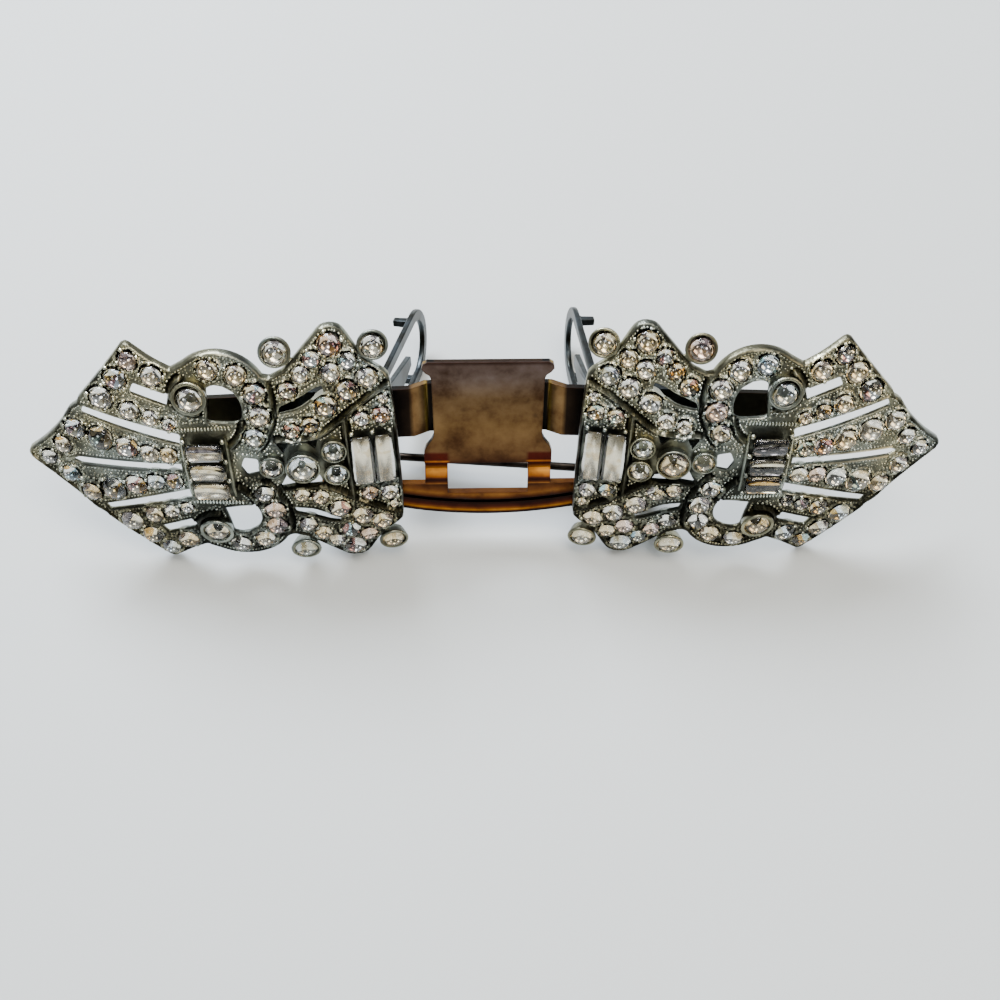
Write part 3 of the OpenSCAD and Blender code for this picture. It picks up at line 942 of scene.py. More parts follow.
@dataclass
class ClipSketch:
    """The clip's drawing: its outline, openings, raised lines and settings."""

    curl_centre: Point = (23.4, 6.75)
    curl_radius: float = 4.65
    boss_centre: Point = (25.8, 7.45)
    slot_half: float = 0.42
    stone_share: float = 1.02

    def outline(self) -> list[Point]:
        """The whole outline, once round.

        Returns:
            Its corners.
        """
        inner = [(8.1, 2.4), (8.2, 5.5), (8.3, 7.2), (8.42, 8.0)]
        crest = [(8.7, 8.4), (10.45, 9.95), (11.8, 12.1), (12.35, 12.75), (13.15, 13.0)]
        crest += [(14.0, 12.85), (14.6, 12.3)]
        side = [(15.65, 11.25), (16.6, 10.25), (17.6, 9.35), (18.75, 8.85)]
        curl = arc(self.curl_centre, self.curl_radius, 151, 54)
        corner = [(27.3, 9.9), (28.8, 10.7), (30.3, 11.75), (30.65, 12.0), (31.0, 12.1), (31.4, 11.95)]
        long_side = [(31.7, 11.6), (33.2, 9.95), (34.7, 8.35), (36.2, 6.75)]
        tip = [(36.5, 6.2), (37.3, 5.6), (38.6, 3.9), (40.4, 2.1), (41.9, 0.85), (42.35, 0.45), (42.5, 0)]
        half = [*inner, *spline(crest), *side, *curl, *spline(corner), *long_side, *spline(tip)]
        return [*half, *lower(half[:-1])]

    def slots(self) -> list[list[Point]]:
        """Openings with rims of their own: the slots between the rays and those beside the ribbons.

        Returns:
            The corners of each.
        """
        first = [(28.1, 6.4), (27.85, 7.5), (30.8, 8.55), (31.3, 7.6)]
        second = spline([(27.4, 3.62), (30.5, 4.42), (33.5, 5.24), (35.9, 5.94)])
        second += spline([(36.25, 5.2), (33.5, 4.28), (30.5, 3.34), (27.4, 2.45)])
        ribbon = spline([(14.25, 7.75), (15.2, 7.42), (16.4, 6.75), (18.2, 6.0)])
        ribbon += spline([(18.35, 5.25), (16.6, 5.65), (15.4, 6.35), (14.15, 7.1)])
        half = self.slot_half
        middle = [(27.8, -half), (27.8, half), (37.4, half), (38.3, 0.0), (37.4, -half)]
        upper = [first, second, ribbon]
        return [middle, *upper, *[lower(s) for s in upper]]

    def eyes(self) -> list[list[Point]]:
        """Openings inside the two curls, each cut short by its boss.

        Returns:
            The corners of each.
        """
        inner = [(24.7, 4.9), (23.6, 4.75), (22.2, 4.7), (21.65, 5.0), (21.45, 6.2), (21.9, 7.5)]
        outer = [(23.6, 8.4), (24.3, 8.15), (24.4, 7.2), (24.5, 6.2)]
        upper = spline([*inner, (22.9, 8.25)]) + spline(outer)
        return [upper, lower(upper)]

    def small_holes(self) -> list[list[Point]]:
        """Small openings round the centre stone.

        Returns:
            The corners of each.
        """
        outer, inner = [(17.75, 2.4), (19.15, 2.6), (18.4, 1.2)], [(15.15, 2.55), (16.6, 2.55), (15.5, 1.4)]
        axis = [(20.8, -0.75), (20.8, 0.75), (21.95, 1.0), (22.4, 0.0), (21.95, -1.0)]
        return [axis, outer, inner, lower(outer), lower(inner)]

    def curl_lines(self) -> list[list[Point]]:
        """Stout smooth edges of the two curls inside the clip, and the edge that rolls round each boss.

        Returns:
            The points along each.
        """
        outer = arc(self.curl_centre, self.curl_radius - 0.12, 152, 188)
        outer += spline([(18.95, 5.9), (19.05, 4.6), (19.65, 3.1), (20.4, 1.95)])
        rolled = arc(self.boss_centre, 1.74, 62, -102)
        return [outer, rolled, lower(outer), lower(rolled)]

    def raised_lines(self) -> list[list[Point]]:
        """Thin beaded lines: the ribbons' edges, the curls' inner edges and the end of the inner plaque.

        Returns:
            The points along each.
        """
        ribbon = spline([(8.4, 7.25), (10.2, 6.3), (12.2, 4.9), (14.8, 3.0), (17.0, 2.65), (18.9, 2.75)])
        inner = spline([(21.6, 4.5), (21.9, 3.6), (22.5, 2.75), (23.0, 2.3)])
        upper = [ribbon, inner]
        return [*upper, *[lower(line) for line in upper], [(12.6, -4.4), (12.6, 4.4)]]

    def fan_stones(self) -> list[RoundStone]:
        """Small stones of the fan.

        Returns:
            The stones, each above the axis and then below it.
        """
        inner_ray = [(28.75, 1.5, 0.8), (30.5, 1.6, 0.85), (32.5, 2.15, 1.0), (34.85, 2.9, 1.15)]
        tip = [(37.12, 3.62, 0.95), (38.7, 1.65, 0.85)]
        middle_ray = [(28.2, 4.75, 0.6), (29.77, 5.32, 0.72), (31.6, 5.95, 0.85), (34.0, 7.05, 1.05)]
        outer_ray = [(29.0, 9.3, 0.95), (30.95, 10.62, 0.83), (32.36, 8.92, 0.98)]
        return [RoundStone(40.4, 0, 0.85), *both([*inner_ray, *tip, *middle_ray, *outer_ray])]

    def crest_stones(self) -> list[RoundStone]:
        """Small stones of the curls, ribbons and inner end.

        Returns:
            The stones, each above the axis and then below it.
        """
        curl = [(24.0, 9.9, 0.92), (21.6, 9.3, 0.92), (20.2, 7.5, 0.95), (20.05, 5.3, 0.95)]
        crest = [(13.3, 11.4, 1.0), (14.9, 10.25, 0.74), (11.8, 9.78, 0.8), (13.4, 8.9, 0.86)]
        ribbon = [(10.3, 8.1, 0.92), (12.1, 7.1, 0.95), (14.1, 5.8, 0.98), (16.0, 9.0, 0.76)]
        foot = [(17.3, 7.6, 0.8), (15.7, 4.1, 0.78), (17.35, 3.66, 0.72)]
        end = [(9.35, 4.4, 0.78), (11.15, 4.2, 0.75), (9.05, 5.95, 0.44)]
        return both([*curl, (20.75, 3.2, 0.88), *crest, *ribbon, *foot, *end])

    def cups(self) -> dict[str, Cup]:
        """Every raised setting, by the name of its stone without the side.

        Returns:
            The settings.
        """
        share = self.stone_share
        found = {"centre_stone": Cup(16.8, 0, 1.6, 0.95, 1.35 * share)}
        found["small_stone"] = Cup(19.6, 0, 1.2, 0.45, 0.98)
        for word, sign, first in (("upper", 1, 1), ("lower", -1, 3)):
            found[f"inner_stone_{word}"] = Cup(13.9, sign * 1.28, 1.2, 0.55, 0.98)
            found[f"curl_stone_{word}"] = Cup(25.8, sign * 7.45, 1.6, 0.75, 1.2 * share)
            found[f"ball_stone_{first}"] = Cup(18.0, sign * 11.1, 1.45, 0.35, 1.15 * share)
            found[f"ball_stone_{first + 1}"] = Cup(9.6, sign * 10.95, 1.4, 0.4, 1.1 * share)
        return found

    def necks(self) -> list[tuple[Point, Point]]:
        """Where each ball's neck starts on the sheet and where it ends under the ball."""
        upper = [((16.5, 9.5), (17.6, 10.65)), ((10.8, 9.5), (9.95, 10.5))]
        return [*upper, *[((a[0], -a[1]), (b[0], -b[1])) for a, b in upper]]

    def bars(self) -> dict[str, Bar]:
        """Every baguette, by its name without the side.

        Returns:
            The baguettes.
        """
        found = {f"bridge_baguette_{k + 1}": Bar(25.3, 2.15 * (1 - k), 3.3, 1.9, 0.35) for k in range(3)}
        found["end_baguette_1"] = Bar(9.4, 0, 1.75, 5.3, 0.0)
        found["end_baguette_2"] = Bar(11.35, 0, 1.95, 5.3, 0.0)
        return found


@dataclass
class Casting:
    """The pierced and domed casting of one clip, with its rims, beading, seats and cups.

    Its lengths are in mm. Grime goes from 0, which is rubbed bright, to 1, which is dark, and painted shade
    adds to it towards the bottom of the clip.
    """

    place: ClipPlace
    sketch: ClipSketch
    dome: Dome
    seed: int
    sheet: float = 0.8
    thin: float = 0.3
    edge_thin: float = 0.45
    step: float = 0.15
    grid_u: tuple[float, float] = (7.9, 42.8)
    grid_v: tuple[float, float] = (-13.3, 13.35)
    rim: float = 0.3
    rim_half: float = 0.15
    slot_rim: float = 0.14
    slot_rim_half: float = 0.12
    line_half: float = 0.2
    line_rim: float = 0.5
    curl_rim: float = 0.38
    curl_half: float = 0.22
    stout_inset: float = 0.3
    stout_half: float = 0.45
    pit_depth: float = 0.7
    # Painted shade: how much darker the metal is drawn towards the bottom of each clip.
    low_painted_shade: float = 0.3
    groove: float = 0.3
    groove_depth: float = 0.25
    flat_grime: float = 0.74
    raised_gain: float = 0.36
    line_darkness: float = 0.8
    collar: float = 0.2
    collar_reach: float = 0.3
    bead: float = 0.14
    bead_pitch: float = 0.33
    grain: float = 0.16
    grain_pitch: float = 0.26
    prong: float = 0.2
    claw: float = 0.26
    flute_pitch: float = 0.3
    flute_half: tuple[float, float, float] = (0.12, 0.3, 0.16)
    flute_ends: tuple[float, float] = (22.9, 27.5)
    flute_v: float = 4.22
    flute_slope: float = 0.04
    bead_off_line: float = 0.56
    bead_off_curl: float = 0.58
    bead_off_hole: float = 0.34
    bead_crowding: float = 0.72
    bead_from_line: float = 0.2
    bead_from_edge: float = 0.25
    grain_from_edge: float = 0.32
    from_stone: float = 0.04
    prong_off_stone: float = 0.06
    prong_from_edge: float = 0.12
    prong_pitch: float = 0.3
    end_claw_lift: float = 1.2
    bridge_claw_lift: float = 2.5
    bead_grime: float = 0.18
    grain_grime: float = 0.42
    prong_grime: float = 0.1
    claw_grime: float = 0.35
    cup_grime: float = 0.62
    neck_grime: float = 0.5
    back_grime: float = 0.6
    neck_widths: tuple[float, ...] = (0.6, 0.52, 0.48, 0.5, 0.55)
    neck_tall: float = 0.62
    neck_sunk: float = 0.3
    ribs: tuple[tuple[float, float, float], ...] = ((23.35, -0.05, 0.7), (27.25, 0.2, 0.5))
    rib_half: float = 3.3
    rib_widths: tuple[float, ...] = (0.16, 0.22, 0.24, 0.24, 0.24, 0.24, 0.24, 0.22, 0.16)
    rib_tall: float = 2.0
    grain_tries: int = 40000
    smooth_zones: tuple[tuple[float, ...], ...] = ((23.0, 27.6, 2.6, 4.7), (13.0, 18.6, -0.1, 2.2))
    plaque: tuple[float, float, float] = (8.5, 12.4, 2.7)
    plaque_sunk: float = 0.4
    bridge: tuple[float, float, float] = (23.1, 27.5, 3.35)
    low_end: float = -3.0
    high_end: float = 7.0

    def __post_init__(self) -> None:
        """Draw what several methods read."""
        self.edge = self.sketch.outline()
        self.rimmed = [*self.sketch.slots(), *self.sketch.eyes()]
        self.holes = [*self.rimmed, *self.sketch.small_holes()]
        self.curls = self.sketch.curl_lines()
        self.lines = self.sketch.raised_lines()
        self.seats = self.sketch.fan_stones() + self.sketch.crest_stones()
        self.random = np.random.default_rng(self.seed)

    def outside(self, points: Array) -> Array:
        """Distance of each point outside the metal, and below zero within it.

        Args:
            points: rows of u, v.

        Returns:
            One distance for each point.
        """
        gap = beyond(points, self.edge)
        for hole in self.holes:
            gap = np.maximum(gap, -beyond(points, hole))
        return gap

    def ridge(self, gap: Array, centre: float, half: float, height: float) -> Array:
        """A rounded ridge that runs at a set distance from an edge."""
        return height * np.sqrt(np.clip(1 - ((gap - centre) / half) ** 2, 0, 1))

    def from_lines(self, points: Array) -> Array:
        """Distance of each point from the flank of the nearest raised line.

        Args:
            points: rows of u, v.

        Returns:
            One distance for each point.
        """
        gap = np.full(len(points), 1e9)
        for lines, half in ((self.curls, self.curl_half), (self.lines, self.line_half)):
            for line in lines:
                gap = np.minimum(gap, far_from(points, line) - half)
        return gap

    def within(self, points: Array, field_box: tuple[float, float, float], margin: float = 0.0) -> Array:
        """Whether each point lies in a box that is given by its ends along u and its half height along v."""
        u, v = points[:, 0], np.abs(points[:, 1])
        return (u > field_box[0] - margin) & (u < field_box[1] + margin) & (v < field_box[2] + margin)

    def low_down(self, points: Array) -> Array:
        """How far down the clip each point lies, from 0 to 1, which sets the painted shade on the lower
        part.
        """
        return smoothstep(self.low_end, self.high_end, -points[:, 1])

    def relief(self, points: Array) -> tuple[Array, Array]:
        """Height of the metal above the dome at each point, and how dark its colour is: tarnish, with
        painted shade lower down.

        Args:
            points: rows of u, v.

        Returns:
            Heights in mm, and tarnish with painted shade from 0 to 1.
        """
        centre, radius = self.sketch.curl_centre, self.sketch.curl_radius
        round_curl = np.hypot(points[:, 0] - centre[0], np.abs(points[:, 1]) - centre[1])
        stout = np.abs(round_curl - radius + self.stout_inset) < self.stout_half
        half = np.where(stout, self.curl_half, self.rim_half)
        tall = np.where(stout, self.curl_rim, self.rim)
        rise = self.ridge(-beyond(points, self.edge), half - 0.02, half, tall)
        for line in self.curls:
            rise = np.maximum(rise, self.ridge(far_from(points, line), 0, self.curl_half, self.curl_rim))
        for line in self.lines:
            rise = np.maximum(rise, self.ridge(far_from(points, line), 0, self.line_half, self.line_rim))
        smooth = rise > 0.02
        groove = self.ridge(self.from_lines(points), 0.5 * self.groove, 0.5 * self.groove, 1.0)
        rim = self.slot_rim_half
        for hole in self.rimmed:
            rise = np.maximum(rise, self.ridge(beyond(points, hole), rim - 0.01, rim, self.slot_rim))
        rise = np.where(self.within(points, self.plaque), -self.plaque_sunk, rise)
        grime_and_shade = self.flat_grime - self.raised_gain * smoothstep(0.05, 0.25, rise)
        # Smooth raised lines and rims take one dark colour all along.
        grime_and_shade = np.where(smooth, self.line_darkness, np.maximum(grime_and_shade, groove))
        rise = np.where(smooth, rise, rise - self.groove_depth * groove)
        for seat in self.seats:
            gap = np.hypot(points[:, 0] - seat.u, points[:, 1] - seat.v) - seat.radius
            near = gap < self.collar_reach
            lip = self.ridge(gap, 0.1, 0.16, self.collar)
            rise = np.where(near, np.maximum(rise * smoothstep(-0.05, 0.25, gap), lip), rise)
            rise = np.where(gap < 0.03, -self.pit_depth * (1 - smoothstep(-0.12, 0.03, gap)), rise)
            # Darker close to each stone's girdle.
            grime_and_shade = np.where(near, np.clip(0.7 - 1.6 * gap, 0.32, 1), grime_and_shade)
        # Painted shade darkens the colour towards the bottom of the clip.
        return rise, grime_and_shade + self.low_painted_shade * self.low_down(points)

    def thickness(self, points: Array) -> Array:
        """Thickness of the sheet at each point. It is thin at every edge, but not at a stone's seat.

        Args:
            points: rows of u, v.

        Returns:
            One thickness for each point.
        """
        gap = np.full(len(points), 1e9)
        for hole in self.holes:
            gap = np.minimum(gap, beyond(points, hole))
        by_holes = self.thin + (self.sheet - self.thin) * smoothstep(0.1, 0.9, gap)
        inset = smoothstep(0.1, 0.9, -beyond(points, self.edge))
        thick = np.minimum(by_holes, self.edge_thin + (self.sheet - self.edge_thin) * inset)
        for seat in self.seats:
            gap = np.hypot(points[:, 0] - seat.u, points[:, 1] - seat.v) - seat.radius
            thick = np.maximum(thick, self.sheet * smoothstep(0.4, 0.0, gap))
        return thick

    def add_plate(self, mesh: MeshBuilder) -> None:
        """Add the sheet itself, cut to its outline and openings and bent over the dome.

        Args:
            mesh: where it is added.
        """
        us, vs = np.arange(*self.grid_u, self.step), np.arange(*self.grid_v, self.step)
        grid = np.stack(np.meshgrid(us, vs, indexing="ij"), -1)
        gap = self.outside(grid.reshape(-1, 2)).reshape(len(us), len(vs))
        held = gap < 0
        points: list[Array] = []
        seen: dict[tuple[int, ...], int] = {}

        def vertex(key: tuple[int, ...], spot: Array) -> int:
            """Index of a vertex, made on first use.

            Args:
                key: the grid corner or the two corners that it lies between.
                spot: its u and v.

            Returns:
                Its index.
            """
            if key not in seen:
                seen[key] = len(points)
                points.append(spot)
            return seen[key]

        tops: list[list[int]] = []
        rims: list[tuple[int, int]] = []
        inside = held[:-1, :-1].astype(int) + held[1:, :-1] + held[1:, 1:] + held[:-1, 1:]
        for i, j in np.argwhere(inside > 0).tolist():
            corners = [(i, j), (i + 1, j), (i + 1, j + 1), (i, j + 1)]
            face: list[int] = []
            leaves: list[int] = []
            for a, b in zip(corners, corners[1:] + corners[:1]):
                if held[a]:
                    face.append(vertex(a, grid[a]))
                if held[a] != held[b]:
                    low, high = min(a, b), max(a, b)
                    share = gap[low] / (gap[low] - gap[high])
                    if held[a]:
                        leaves.append(len(face))
                    face.append(vertex((*low, *high), grid[low] + share * (grid[high] - grid[low])))
            tops.append(face)
            rims += [(face[k], face[(k + 1) % len(face)]) for k in leaves]
        flat = np.array(points)
        rise, grime_and_shade = self.relief(flat)
        base = self.dome.at(flat[:, 0], flat[:, 1])
        front = np.column_stack([flat, base + rise])
        back = np.column_stack([flat, base - self.thickness(flat)])
        count = len(flat)
        walls = [(b, a, a + count, b + count) for a, b in rims]
        floors = [[k + count for k in reversed(face)] for face in tops]
        grime_and_shade_values = np.concatenate([grime_and_shade, np.full(count, self.back_grime)])
        mesh.add(np.vstack([front, back]), [*tops, *floors, *walls], grime_and_shade=grime_and_shade_values)

    def clear(self, points: Array, from_stone: float, from_edge: float) -> Array:
        """The points that keep clear of every stone, cup, opening and baguette.

        Args:
            points: rows of u, v.
            from_stone: least distance from a girdle or cup.
            from_edge: least distance from an edge of the metal.

        Returns:
            The rows that are clear.
        """
        keep = self.outside(points) < -from_edge
        for taken in (*self.seats, *self.sketch.cups().values()):
            keep &= np.hypot(points[:, 0] - taken.u, points[:, 1] - taken.v) > taken.radius + from_stone
        keep &= ~self.within(points, self.plaque, 0.1) & ~self.within(points, self.bridge, 0.1)
        return points[keep]

    def add_beads(
        self, mesh: MeshBuilder, spots: Array, sizes: Array, grime_and_shade: float, sink: float = 0.25
    ) -> None:
        """Set small round beads on the metal.

        Args:
            mesh: where they are added.
            spots: rows of u, v.
            sizes: radius of each bead.
            grime_and_shade: how tarnished they are on the whole.
            sink: how deep each sits, as a share of its radius.
        """
        shape, faces = bead_form(0.84, 0.5, 0.95)
        height = self.dome.at(spots[:, 0], spots[:, 1]) + np.maximum(self.relief(spots)[0], 0) - sink * sizes
        # Painted shade darkens the beads lower down the clip, as it does the sheet.
        grime_and_shade_values = self.random.uniform(-0.15, 0.25, len(spots)) + grime_and_shade + self.low_painted_shade * self.low_down(spots)
        mesh.repeat(shape, faces, np.column_stack([spots, height]), sizes, grime_and_shade_values)

    def milgrain(self) -> Array:
        """Places of the beads that follow every edge and raised line.

        Returns:
            Rows of u, v.
        """
        inset = 2 * self.rim_half + self.bead * 0.6
        rows = [walk(self.edge, self.bead_pitch, -inset, closed=True)]
        for hole in self.rimmed:
            turned = sum(a[0] * b[1] - b[0] * a[1] for a, b in zip(hole, [*hole[1:], hole[0]])) < 0
            aside = self.bead_off_hole if turned else -self.bead_off_hole
            rows.append(walk(hole, self.bead_pitch, aside, closed=True))
        for lines, aside in ((self.lines, self.bead_off_line), (self.curls, self.bead_off_curl)):
            for line in lines:
                rows += [walk(line, self.bead_pitch, aside), walk(line, self.bead_pitch, -aside)]
        spots = self.clear(np.vstack(rows), self.from_stone, self.bead_from_edge)
        spots = spots[self.from_lines(spots) > self.bead_from_line]
        return self.spaced(spots, self.bead_pitch * self.bead_crowding)

    def spaced(self, spots: Array, pitch: float, taken: Sequence[Point] = ()) -> Array:
        """The places that keep a distance from each other and from those taken.

        Args:
            spots: rows of u, v.
            pitch: least distance.
            taken: places already used.

        Returns:
            The rows that are kept.
        """
        cells: dict[tuple[int, int], list[Point]] = {}

        def near(spot: Point) -> bool:
            """Whether a kept place is too close, and if none is, this one is noted.

            Args:
                spot: its u and v.

            Returns:
                True if a kept place is too close.
            """
            i, j = math.floor(spot[0] / pitch), math.floor(spot[1] / pitch)
            for di in (-1, 0, 1):
                for dj in (-1, 0, 1):
                    if any(math.dist(spot, other) < pitch for other in cells.get((i + di, j + dj), [])):
                        return True
            cells.setdefault((i, j), []).append(spot)
            return False

        for spot in taken:
            near((spot[0], spot[1]))
        return np.array([spot for spot in spots.tolist() if not near((spot[0], spot[1]))])

    def grains(self, taken: Array) -> Array:
        """Places of the fine grain between the stones.

        Args:
            taken: rows of u, v that have beads.

        Returns:
            Rows of u, v.
        """
        tries = self.random.uniform([8, -13], [42.5, 13], (self.grain_tries, 2))
        height = np.abs(tries[:, 1])
        for left, right, foot, top in self.smooth_zones:
            inside = (tries[:, 0] > left) & (tries[:, 0] < right) & (height > foot) & (height < top)
            tries, height = tries[~inside], height[~inside]
        tries = tries[self.from_lines(tries) > self.groove]
        kept = self.clear(tries, self.from_stone, self.grain_from_edge)
        return self.spaced(kept, self.grain_pitch, taken.tolist())

    def prongs(self) -> Array:
        """Places of the four beads that hold each small stone.

        Returns:
            Rows of u, v.
        """
        spots = []
        for stone in self.seats:
            start = self.random.uniform(0, 90)
            for k in range(4):
                angle = math.radians(start + 90 * k + self.random.uniform(-8, 8))
                far = stone.radius + self.prong_off_stone
                spots.append((stone.u + far * math.cos(angle), stone.v + far * math.sin(angle)))
        found = np.array(spots)
        return self.spaced(found[self.outside(found) < -self.prong_from_edge], self.prong_pitch)

    def add_flutes(self, mesh: MeshBuilder) -> None:
        """Add the row of short ribs that stands between each eye and the bridge.

        Args:
            mesh: where they are added.
        """
        shape, faces = bead_form(0.8, 0.6, 0.9)
        first, last = self.flute_ends
        along = np.arange(first, last, self.flute_pitch)
        for sign in (1, -1):
            flat = np.column_stack([along, sign * (self.flute_v - self.flute_slope * (along - first))])
            height = self.dome.at(flat[:, 0], flat[:, 1])
            spots = np.column_stack([flat, height + 0.04])
            mesh.repeat(shape * self.flute_half, faces, spots, np.ones(len(spots)), np.full(len(spots), 0.2))

    def bridge_claws(self) -> Array:
        """Places of the claws at the ends of the bridge baguettes."""
        return np.array([(u, v) for u in (23.55, 27.1) for v in (-3.2, -1.07, 1.07, 3.2)])

    def end_claws(self) -> Array:
        """Places of the claws at the ends of the end baguettes."""
        aside = self.plaque[2] + 0.08
        return np.array([(u, v) for u in (8.75, 10.3, 12.15) for v in (aside, -aside)])

    def add_cups(self, mesh: MeshBuilder) -> None:
        """Add the raised settings, each with a rolled lip round a hollow, and the necks of the balls.

        Args:
            mesh: where they are added.
        """
        for cup in self.sketch.cups().values():
            r, h, s = cup.radius, cup.height, cup.stone
            wall = [(0.02, -0.74), (0.7 * r, -0.72), (0.84 * r, -0.3), (0.97 * r, h - 0.2), (r, h - 0.06)]
            lip = [(r - 0.03, h + 0.05), (r - 0.1, h + 0.11), (s + 0.08, h + 0.1), (s + 0.01, h + 0.04)]
            hollow = [(s + 0.02, h - 0.12), (0.02, h - 0.2 - 0.9 * s)]
            mesh.lathe(self.dome.seat(cup.u, cup.v), [*wall, *lip, *hollow], 32, self.cup_grime)
        for start, end in self.sketch.necks():
            share = np.linspace(0, 1, 5)[:, None]
            flat = np.array(start) * (1 - share) + np.array(end) * share
            path = np.column_stack([flat, self.dome.at(flat[:, 0], flat[:, 1]) - self.neck_sunk])
            mesh.tube(path, self.neck_widths, self.neck_tall, self.neck_grime)

    def add_bridge(self, mesh: MeshBuilder) -> None:
        """Add the two ribs that hold the ends of the bridge baguettes.

        Args:
            mesh: where they are added.
        """
        v = np.linspace(-self.rib_half, self.rib_half, len(self.rib_widths))
        for u, lift, grime_and_shade in self.ribs:
            path = np.column_stack([np.full(len(v), u), v, self.dome.at(np.full(len(v), u), v) + lift])
            mesh.tube(path, self.rib_widths, self.rib_tall, grime_and_shade)

    def build(self, finishes: Finishes) -> bpy.types.Object:
        """Make the casting.

        Args:
            finishes: the brooch's materials.

        Returns:
            The piece, riding on its clip.
        """
        mesh = MeshBuilder()
        self.add_plate(mesh)
        self.add_cups(mesh)
        self.add_bridge(mesh)
        self.add_flutes(mesh)
        beads = self.milgrain()
        sizes = self.random.uniform(0.85, 1.12, len(beads)) * self.bead
        self.add_beads(mesh, beads, sizes, self.bead_grime)
        grains = self.grains(beads)
        sizes = self.random.uniform(0.55, 1.35, len(grains)) * self.grain
        self.add_beads(mesh, grains, sizes, self.grain_grime)
        prongs = self.prongs()
        sizes = self.random.uniform(0.85, 1.15, len(prongs)) * self.prong
        self.add_beads(mesh, prongs, sizes, self.prong_grime, -0.15)
        for claws, lift in (
            (self.end_claws(), self.end_claw_lift),
            (self.bridge_claws(), self.bridge_claw_lift),
        ):
            self.add_beads(mesh, claws, np.full(len(claws), self.claw), self.claw_grime, -lift)
        side = self.place.side.value
        piece = mesh.build(f"{side}_pierced_casting", self.place, [finishes.cast])
        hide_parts(f"{side}_casting")
        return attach(piece, f"{side}_clip")


@dataclass(frozen=True)
class FoilState:
    """State of the foil behind a group of stones: odds of each backing, and share and width of the wedges of
    painted window reflection.
    """

    odds: tuple[float, ...]
    wedge_share: float
    wedge_width: float = 1.0


